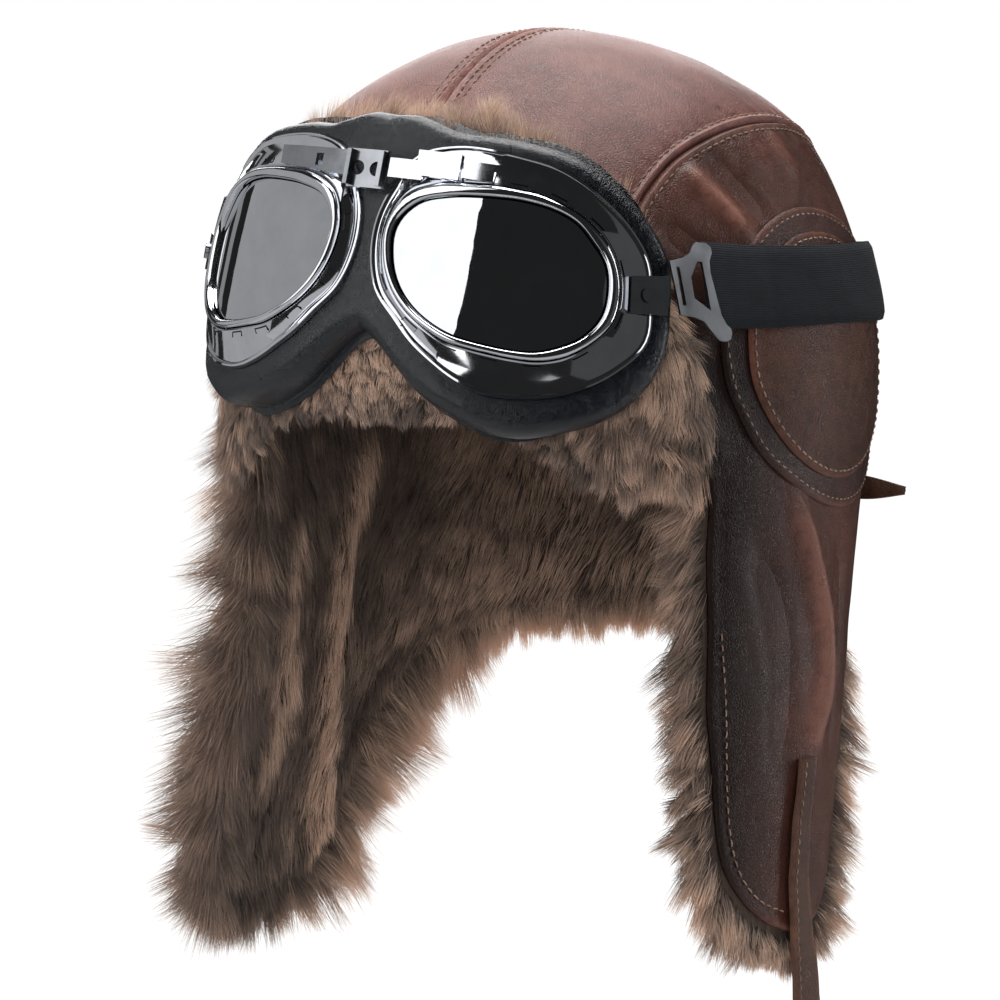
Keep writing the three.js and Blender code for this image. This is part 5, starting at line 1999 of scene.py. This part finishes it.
    def fringe(self, fur: Fur, outline: Outline) -> None:
        """The longer pile that sticks out round the edge, fanned from the outer to the inner face.

        Args:
            fur: Grows the strands.
            outline: The lining's outline.
        """
        rng = np.random.default_rng(31)
        chosen = np.flatnonzero(outline.edges == Edge.FREE.value)
        theta0, _ = Chart.WALL.polar(outline.xy[chosen])
        sides = (("left", theta0 <= 180, FRINGE_LEFT), ("right", theta0 > 180, FRINGE_RIGHT))
        for hand, test, table in sides:
            steps = chosen[test]
            side = np.minimum(theta0[test], 360 - theta0[test])
            weight = np.where(side > 44, 1.0, 0.1)
            spots = rng.choice(steps, self.fringe_strands, p=weight / weight.sum())
            inwards, tangent = outline.inwards[spots], outline.tangent[spots]
            deep = rng.uniform(-0.5, 7.0, len(spots))
            jitter = rng.uniform(-1.2, 1.2, (len(spots), 2))
            place = Chart.WALL.shifted(outline.xy[spots], inwards * deep[:, None]) + jitter
            theta, level = Chart.WALL.polar(place)
            out, down, _ = FORM.axes(theta, level)
            depth = rng.uniform(0, 1, len(spots))
            roots = FORM.point(theta, level, LINING_SKIN + self.skin_lift * (1 - depth))
            side = np.minimum(theta, 360 - theta)
            front, foot, back = (smoothstep(*span, side) for span in FRINGE_TURNS)
            shares = np.stack([1 - front, front * (1 - foot), foot * (1 - back), back])
            length, flare, trail, away, pale = (np.array(table).T @ shares)
            length = np.where(side < 50, 6.0, length)
            if hand == "right":
                length = length * (1 + 0.32 * bell(FORM.columns(level)[0], -82, 38) * shares[0])
            along = tangent * np.sum(tangent * down, axis=1)[:, None]
            fan = out * (flare * (1 - 1.3 * depth))[:, None]
            lay = unit(-inwards * away[:, None] + along * trail[:, None] + fan + down * 0.15)
            normal = unit(-inwards * 0.5 + out * (0.7 - 1.5 * depth)[:, None])
            # Painted shade: strands rooted deeper in the pile are darker.
            tint = pale - 0.22 * depth + 0.14 * soft_noise(roots, 20, 6.0)
            made = fur.grow("fur_fringe_" + hand, roots, normal, lay, length, tint, self.edge_coat, 41)
            settle(made, ())

    def build(self, fur: Fur, backing: Material) -> None:
        """Builds the backing, the pile and the fringe."""
        outline = self.outline()
        settle(self.skin(outline, backing), ())
        self.pile(fur, outline)
        self.fringe(fur, outline)


@dataclass
class BrowFlap:
    """The turned-up flap over the forehead, fur side out."""

    strands: int = 36000
    spacing: float = 4.0
    rim: float = 1.2
    cover: float = 9.0
    coat: Coat = Coat(tuft=55, width=0.26, rise=(0.45, 0.12), gather=0.26, wild=0.28, uneven=0.17)

    def outline(self) -> Outline:
        """The flap's edge."""
        other = tuple((-theta, z) for theta, z in reversed(BROW_EDGE))
        return Outline(Chart.WALL, [Run(BROW_EDGE + other[1:], Edge.FREE)], 2.0)

    def face(self, level: Array, gap: Array) -> Array:
        """Height of the flap's own body over the leather, rounded off at its edge."""
        full = BROW_SKIN + 0.5 * (brow_face(level) - BROW_THICK)
        return self.rim + (full - self.rim) * np.sqrt(np.clip(gap / 6, 0, 1))

    def shows(self, xy: Array) -> Array:
        """Whether flat places stay clear of what the goggles cover."""
        theta, level = Chart.WALL.polar(xy)
        return ~GOGGLES.under_pad(FORM.point(theta, level, brow_face(level)), self.cover)

    def skin(self, outline: Outline, material: Material) -> Piece:
        """The flap's own body under the pile."""
        xy, faces = triangulated([outline.xy], outline.filled(self.spacing, 2.5))
        theta, level = Chart.WALL.polar(xy)
        gap, _ = Nearest(outline.points).find(FORM.point(theta, level))
        upper, lower = FORM.point(theta, level, self.face(level, gap)), FORM.point(theta, level, 0.4)
        return slab("brow_backing", upper, lower, faces, material)

    def build(self, fur: Fur, backing: Material) -> None:
        """Builds the body and its pile, leaving out what the goggles cover.

        Args:
            fur: Grows the strands.
            backing: Finish of the body.
        """
        outline = self.outline()
        settle(self.skin(outline, backing), ())
        rng = np.random.default_rng(51)
        nearest = Nearest(outline.points)
        xy = scattered(rng, outline.xy, self.strands, self.shows)
        theta, level = Chart.WALL.polar(xy)
        z = FORM.columns(level)[0]
        gap, index = nearest.find(FORM.point(theta, level))
        out, down, around = FORM.axes(theta, level)
        roots = FORM.point(theta, level, self.face(level, gap) - 0.2)
        upward = smoothstep(40, 62, z)
        edge_pull = -outline.inwards[index] * (bell(gap, 0, 8) * (0.8 - 0.4 * (z < 30)))[:, None]
        lean = around * (np.sign(theta) * 0.15)[:, None]
        lay = unit(down * (1 - 2 * upward)[:, None] + edge_pull + lean)
        near, far = smoothstep(28, 46, theta), smoothstep(20, 40, -theta)
        length = np.where(z > 60, 14.5, 4.6 + 5.4 * near + 4.5 * far)
        # Painted shade: the pile darkens towards the flap's foot, under the goggles.
        low = 1 - smoothstep(2, 16, z)
        tint = 0.95 + 0.2 * soft_noise(roots, 18, 7.0) - (0.36 - 0.14 * near - 0.1 * far) * low
        tint += 0.3 * bell(theta, -8, 16) * smoothstep(4, 14, z) - 0.2 * smoothstep(50, 60, theta)
        made = fur.grow("fur_brow", roots, out, lay, length, tint, self.coat, 61)
        settle(made, ["brow_flap"])


# Chin strap: height, place in y and width
CHIN_ROWS = (
    (-113, -24, 9), (-124, -28, 9), (-140, -33, 9.5), (-155, -35, 10.5), (-168, -34, 12), (-180, -32, 14),
    (-192, -30, 15), (-199, -29, 13),
)
# Nape tab: angle, height, distance from the leather and width
NAPE_ROWS = (
    (154, -31, 0.3, 9), (146, -31, 0.3, 9), (140, -30.5, 2, 9), (134.5, -30, 8, 7.5), (131, -29, 17, 3),
)


@dataclass
class SmallStraps:
    """The chin strap's free end on the wearer's left flap, and the tab behind the neck."""

    chin_thick: float = 2.6
    nape_thick: float = 1.6
    stand_off: float = 0.6

    def swept(
        self, name: str, middles: Array, across: Array, out: Array, widths: Array,
        thick: float, material: Material,
    ) -> Piece:
        """A strap with rounded edges along a line.

        Args:
            name: The piece's name.
            middles: The line of its inner face.
            across: Directions across it.
            out: Directions out of its face.
            widths: Its width along the line.
            thick: Its thickness.
            material: Its finish.

        Returns:
            The object.
        """
        half = [(1, 0.15), (1, 0.75), (0.9, 1), (0.62, 0.88)]
        section = [(-a, b) for a, b in half] + [(0, 1.0), *reversed(half), (0.9, 0), (-0.9, 0)]
        rows = [middles + across * (widths / 2 * a)[:, None] + out * (thick * b) for a, b in section]
        steps = len(middles)
        wear_and_highlight = 0.3 + 0.3 * np.tile(np.array([abs(a) > 0.85 for a, _ in section], float), steps)
        return bar(name, rows, material, facts={"wear_and_highlight": wear_and_highlight, "shade": np.full(len(wear_and_highlight), 0.12)}, sharp=45)

    def chin_line(self) -> tuple[Array, Array]:
        """The chin strap's middle line on the leather, and its widths."""
        rows = resampled(np.array(CHIN_ROWS, float), 1.5)
        level = FORM.level_of(np.maximum(rows[:, 0], -168))
        _, side, middle, length = FORM.columns(level)
        x = side * np.sqrt(1 - np.minimum(1, ((rows[:, 1] - middle) / length) ** 2))
        return np.column_stack([x, rows[:, 1], rows[:, 0]]), rows[:, 2]

    def build(self, leather: Material, thread: Material) -> None:
        """Builds both straps and the chin strap's stitches.

        Args:
            leather: Finish of the straps.
            thread: Finish of the stitches.
        """
        middles, widths = self.chin_line()
        out = np.tile([1.0, 0.0, 0.0], (len(middles), 1))
        wobble = 0.35 * np.sin(np.linspace(0, 14, len(middles)))
        start = middles + out * (self.stand_off + np.abs(wobble)[:, None])
        across = np.tile([0.0, 1.0, 0.0], (len(middles), 1))
        chin = self.swept("leather_chin_strap", start, across, out, widths, self.chin_thick, leather)
        settle(chin, ["chin_strap"])
        line = start - across * (widths / 2 - 1.6)[:, None] + out * (self.chin_thick + 0.02)
        along = measured(line)
        spots = sampled(line, along, np.arange(2, along[-1] - 1, 3.2))
        down = np.tile([0.0, 0.0, -1.0], (len(spots), 1))
        outward = np.tile([1.0, 0.0, 0.0], (len(spots), 1))
        points, faces = Sewing(2.2, 0.24).mesh(spots, down, outward)
        settle(make_object("stitches_chin_strap", points, faces, thread))
        rows = resampled(np.array(NAPE_ROWS, float), 1.0)
        level = FORM.level_of(rows[:, 1])
        out, down, _ = FORM.axes(rows[:, 0], level)
        inner = FORM.point(rows[:, 0], level, rows[:, 2])
        nape = self.swept("leather_nape_tab", inner, -down, out, rows[:, 3], self.nape_thick, leather)
        settle(nape, ["nape_tab"])


@dataclass
class Studio:
    """Camera, lights, floor and the cards that polished parts reflect."""

    azimuth: float = 31.0
    elevation: float = 3.0
    distance: float = 1900.0
    pixels_per_mm: float = 2.95
    axis_pixel: tuple[float, float] = (558.0, 400.0)
    frame: float = 1000.0
    sensor: float = 36.0
    floor_z: float = -235.0
    ambient: float = 0.42
    reflected: float = 0.02

    @staticmethod
    def way(azimuth: float, elevation: float) -> Vector:
        """Direction from the hat, both angles in degrees."""
        a, e = math.radians(azimuth), math.radians(elevation)
        return Vector((math.sin(a) * math.cos(e), -math.cos(a) * math.cos(e), math.sin(e)))

    def camera(self) -> None:
        """Places the camera at the photograph's angle and framing."""
        back = self.way(self.azimuth, self.elevation)
        focal = self.pixels_per_mm * self.distance
        data = bpy.data.cameras.new("camera")
        data.sensor_width = self.sensor
        data.lens = focal * self.sensor / self.frame
        data.clip_start, data.clip_end = 0.05, 100
        made = placed("camera", data)
        turn = back.to_track_quat("Z", "Y").to_matrix()
        yaw = math.atan((self.axis_pixel[0] - self.frame / 2) / focal)
        pitch = math.atan((self.frame / 2 - self.axis_pixel[1]) / focal)
        aim = Euler((-pitch, yaw, 0)).to_matrix()
        made.matrix_world = Matrix.Translation(back * self.distance * MM) @ (turn @ aim).to_4x4()
        bpy.context.scene.camera = made

    def softbox(
        self, name: str, place: tuple, target: tuple, size: tuple, watts: float, seen: bool = True
    ) -> None:
        """Adds one area light, which polished parts may be kept from mirroring.

        Args:
            name: Its name.
            place: Where it stands, in metres.
            target: Where it points.
            size: Width and height in metres.
            watts: Its power.
            seen: Whether polished parts mirror it.
        """
        data = bpy.data.lights.new(name, "AREA")
        data.shape, data.size, data.size_y = "RECTANGLE", *size
        data.energy = watts
        made = placed(name, data)
        made.location = place
        made.rotation_euler = (Vector(place) - Vector(target)).to_track_quat("Z", "Y").to_euler()
        made.visible_glossy = seen

    @staticmethod
    def sheet(name: str, width: float, height: float) -> tuple[Piece, Nodes, Socket]:
        """A flat sheet that stands for no piece of the hat.

        Args:
            name: Its name.
            width: Its width in metres.
            height: Its height in metres.

        Returns:
            The sheet, its material's helper and the material's surface input.
        """
        mesh = bpy.data.meshes.new(name)
        w, h = width / 2, height / 2
        mesh.from_pydata([(-w, -h, 0), (w, -h, 0), (w, h, 0), (-w, h, 0)], [], [(0, 1, 2, 3)])
        material = bpy.data.materials.new(name)
        material.use_nodes = True
        mesh.materials.append(material)
        made = placed(name, mesh)
        return made, Nodes(material.node_tree), material.node_tree.nodes["Material Output"].inputs[0]

    def card(
        self, name: str, azimuth: float, elevation: float, reach: float, size: tuple, tone: float,
        roll: float = 0.0,
    ) -> None:
        """A plain card that only polished parts see.

        Args:
            name: Its name.
            azimuth: Its direction from the hat.
            elevation: Its height over the horizon.
            reach: Its distance in metres.
            size: Width and height in metres.
            tone: Its brightness.
            roll: Its lean in degrees.
        """
        way = self.way(azimuth, elevation)
        made, nodes, surface = self.sheet(name, *size)
        glow = nodes.out("Emission", {"Color": (1, 1, 1, 1), "Strength": tone})
        nodes.tree.links.new(glow, surface)
        made.location = way * reach
        lean = Euler((0, 0, math.radians(roll))).to_matrix()
        made.rotation_euler = (way.to_track_quat("-Z", "Y").to_matrix() @ lean).to_euler()
        made.visible_camera = made.visible_diffuse = made.visible_shadow = made.visible_transmission = False

    def floor(self) -> None:
        """A wide pale floor under the hat."""
        made, nodes, surface = self.sheet("floor", 24.0, 24.0)
        made.location = (0, 0, self.floor_z * MM)
        shader = nodes.tree.nodes["Principled BSDF"]
        nodes.feed(shader, {"Base Color": (0.85, 0.85, 0.85, 1), "Roughness": 0.9})
        seen = nodes.out("LightPath", None, "Is Camera Ray")
        glow = nodes.out("Emission", {"Color": (1, 1, 1, 1), "Strength": 1.08})
        share = nodes.calc("MULTIPLY", seen, 0.94)
        mix = nodes.out("MixShader", {0: share, 1: shader.outputs[0], 2: glow})
        nodes.tree.links.new(mix, surface)
        made.visible_glossy = False

    def world(self) -> None:
        """White behind the hat, dim for what polished parts reflect, even for the rest."""
        world = bpy.data.worlds.new("studio")
        bpy.context.scene.world = world
        world.use_nodes = True
        nodes = Nodes(world.node_tree)
        rays = nodes.add("LightPath").outputs
        ranged = {0: rays["Is Camera Ray"], 1: 0.0, 2: 1.0, 3: self.ambient, 4: 1.0}
        strength = nodes.out("MapRange", ranged)
        dimmer = self.reflected - self.ambient
        polished = nodes.calc("MULTIPLY_ADD", rays["Is Glossy Ray"], dimmer, strength)
        nodes.feed(nodes.tree.nodes["Background"], {"Color": (1, 1, 1, 1), "Strength": polished})

    def build(self) -> None:
        """Sets up the whole studio."""
        bpy.context.scene.view_settings.view_transform = "Standard"
        self.camera()
        self.world()
        self.floor()
        self.softbox("top", (-0.15, 0.3, 1.5), (0, 0, 0), (1.3, 1.3), 38.0)
        self.softbox("left", (-1.2, -1.3, 0.7), (0, 0, 0), (0.7, 1.2), 4.6)
        self.softbox("right", (1.2, 1.1, 0.1), (0, 0, -0.05), (0.4, 1.5), 8.0)
        self.softbox("back", (-0.9, 1.3, 0.6), (0, 0, 0), (1.0, 1.0), 9.0)
        self.softbox("fill", (0.5, -1.7, 0.1), (0, 0, -0.05), (1.4, 1.4), 7.0, seen=False)
        self.card("white_card", -17, 20, 1.6, (1.37, 2.5), 1.7, roll=3.0)
        self.card("grey_card", -70, 4, 1.5, (1.6, 1.9), 0.42)
        self.card("stripe_card", -108, 4, 1.5, (0.14, 1.9), 0.3)
        self.card("edge_card", -117, 4, 1.5, (0.07, 1.9), 0.42)
        self.card("side_card", 90, 0, 1.5, (1.6, 1.9), 0.07)
        self.card("low_card", 0, -90, -0.001 - self.floor_z * MM, (0.9, 0.9), 0.5)


def finishes() -> dict[str, Material]:
    """Every finish of the hat by its name."""
    effects = Effects()
    recipes = [
        LeatherFinish("side_leather", "21100c", "582b20", "86594b", roughness=0.38),
        LeatherFinish("crown_leather", "371914", "66352a", "92635a", roughness=0.41),
        LeatherFinish("patch_leather", "1e110e", "432620", "764b40", roughness=0.38),
        LeatherFinish("pad_leather", "160a07", "2a140e", "60392a", roughness=0.42),
        LeatherFinish("strap_leather", "20120e", "3f251c", "74503e", roughness=0.45),
        ThreadFinish("thread", "a58b78", "5f4336"),
        FurFinish("fur", "352d29", "7c695e", "e0bda5"),
        SkinFinish("fur_backing", "2b211c", "58473b"),
        PaddingFinish("goggle_padding", "05080e", "131b27"),
        MetalFinish("chrome", "e6e8ec", "b9bcc4", 0.03, 0.14),
        MetalFinish("bridge_steel", "a8abb0", "75777b", 0.12, 0.3, 0.00001),
        MetalFinish("steel", "66686c", "47494c", 0.32, 0.5, 0.00001),
        # Painted shade: the dark finish of the bars standing in for the shaded slits.
        MetalFinish("slit_shade_dark", "2c2d30", "17181a", 0.3, 0.5, 0.00001),
        MetalFinish("lens_mirror", "d3d6da", "b4b8bd", 0.01, 0.035, 0.0000005),
        ElasticFinish("elastic", "050b15", "192839"),
    ]
    return {recipe.name: recipe.material(effects) for recipe in recipes}


def main() -> None:
    """Builds the hat piece by piece."""
    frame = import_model()
    LOG.info("the frame has %d nodes", len(frame["nodes"]))
    Studio().build()
    made = finishes()

    LeatherShell().build(made["side_leather"], made["crown_leather"])
    EarPatches().build(made["patch_leather"], made["pad_leather"])
    seams = [
        StitchLine(ARCH, 3.4, 0.15, ends=(0.1, 1)),
        StitchLine(ARCH, -3.4, 0.15, ends=(0.1, 1)),
        StitchLine(SIDE_BACK, 3.4, 0.15),
        StitchLine(SIDE_BACK, -3.4, 0.15),
        StitchLine(CROWN_SEAM, 3.4, 0.15, chart=Chart.DOME),
        StitchLine(CROWN_SEAM, 6.2, 0.2, chart=Chart.DOME),
        StitchLine(FLAP_SEWING, 0.0, 0.05),
        StitchLine(NECK_RIM, -4.2, 0.05),
        StitchLine(PATCH_OUTER, -2.6, 1.38, closed=True),
        StitchLine(PATCH_INNER, -2.4, 2.8, closed=True),
    ]
    settle(Sewing().build("stitches", seams, made["thread"]))
    fur, backing = Fur(made["fur"]), made["fur_backing"]
    Lining().build(fur, backing)
    BrowFlap().build(fur, backing)
    GogglePad().build(made["goggle_padding"])
    EyePieces().build(made["chrome"], made["lens_mirror"], made["slit_shade_dark"])
    BridgeAndLugs().build(made["chrome"], made["bridge_steel"])
    StrapAndBuckles().build(made["elastic"], made["steel"])
    SmallStraps().build(made["strap_leather"], made["thread"])


if __name__ == "__main__":
    logging.basicConfig(level=logging.INFO, format="%(message)s")
    main()
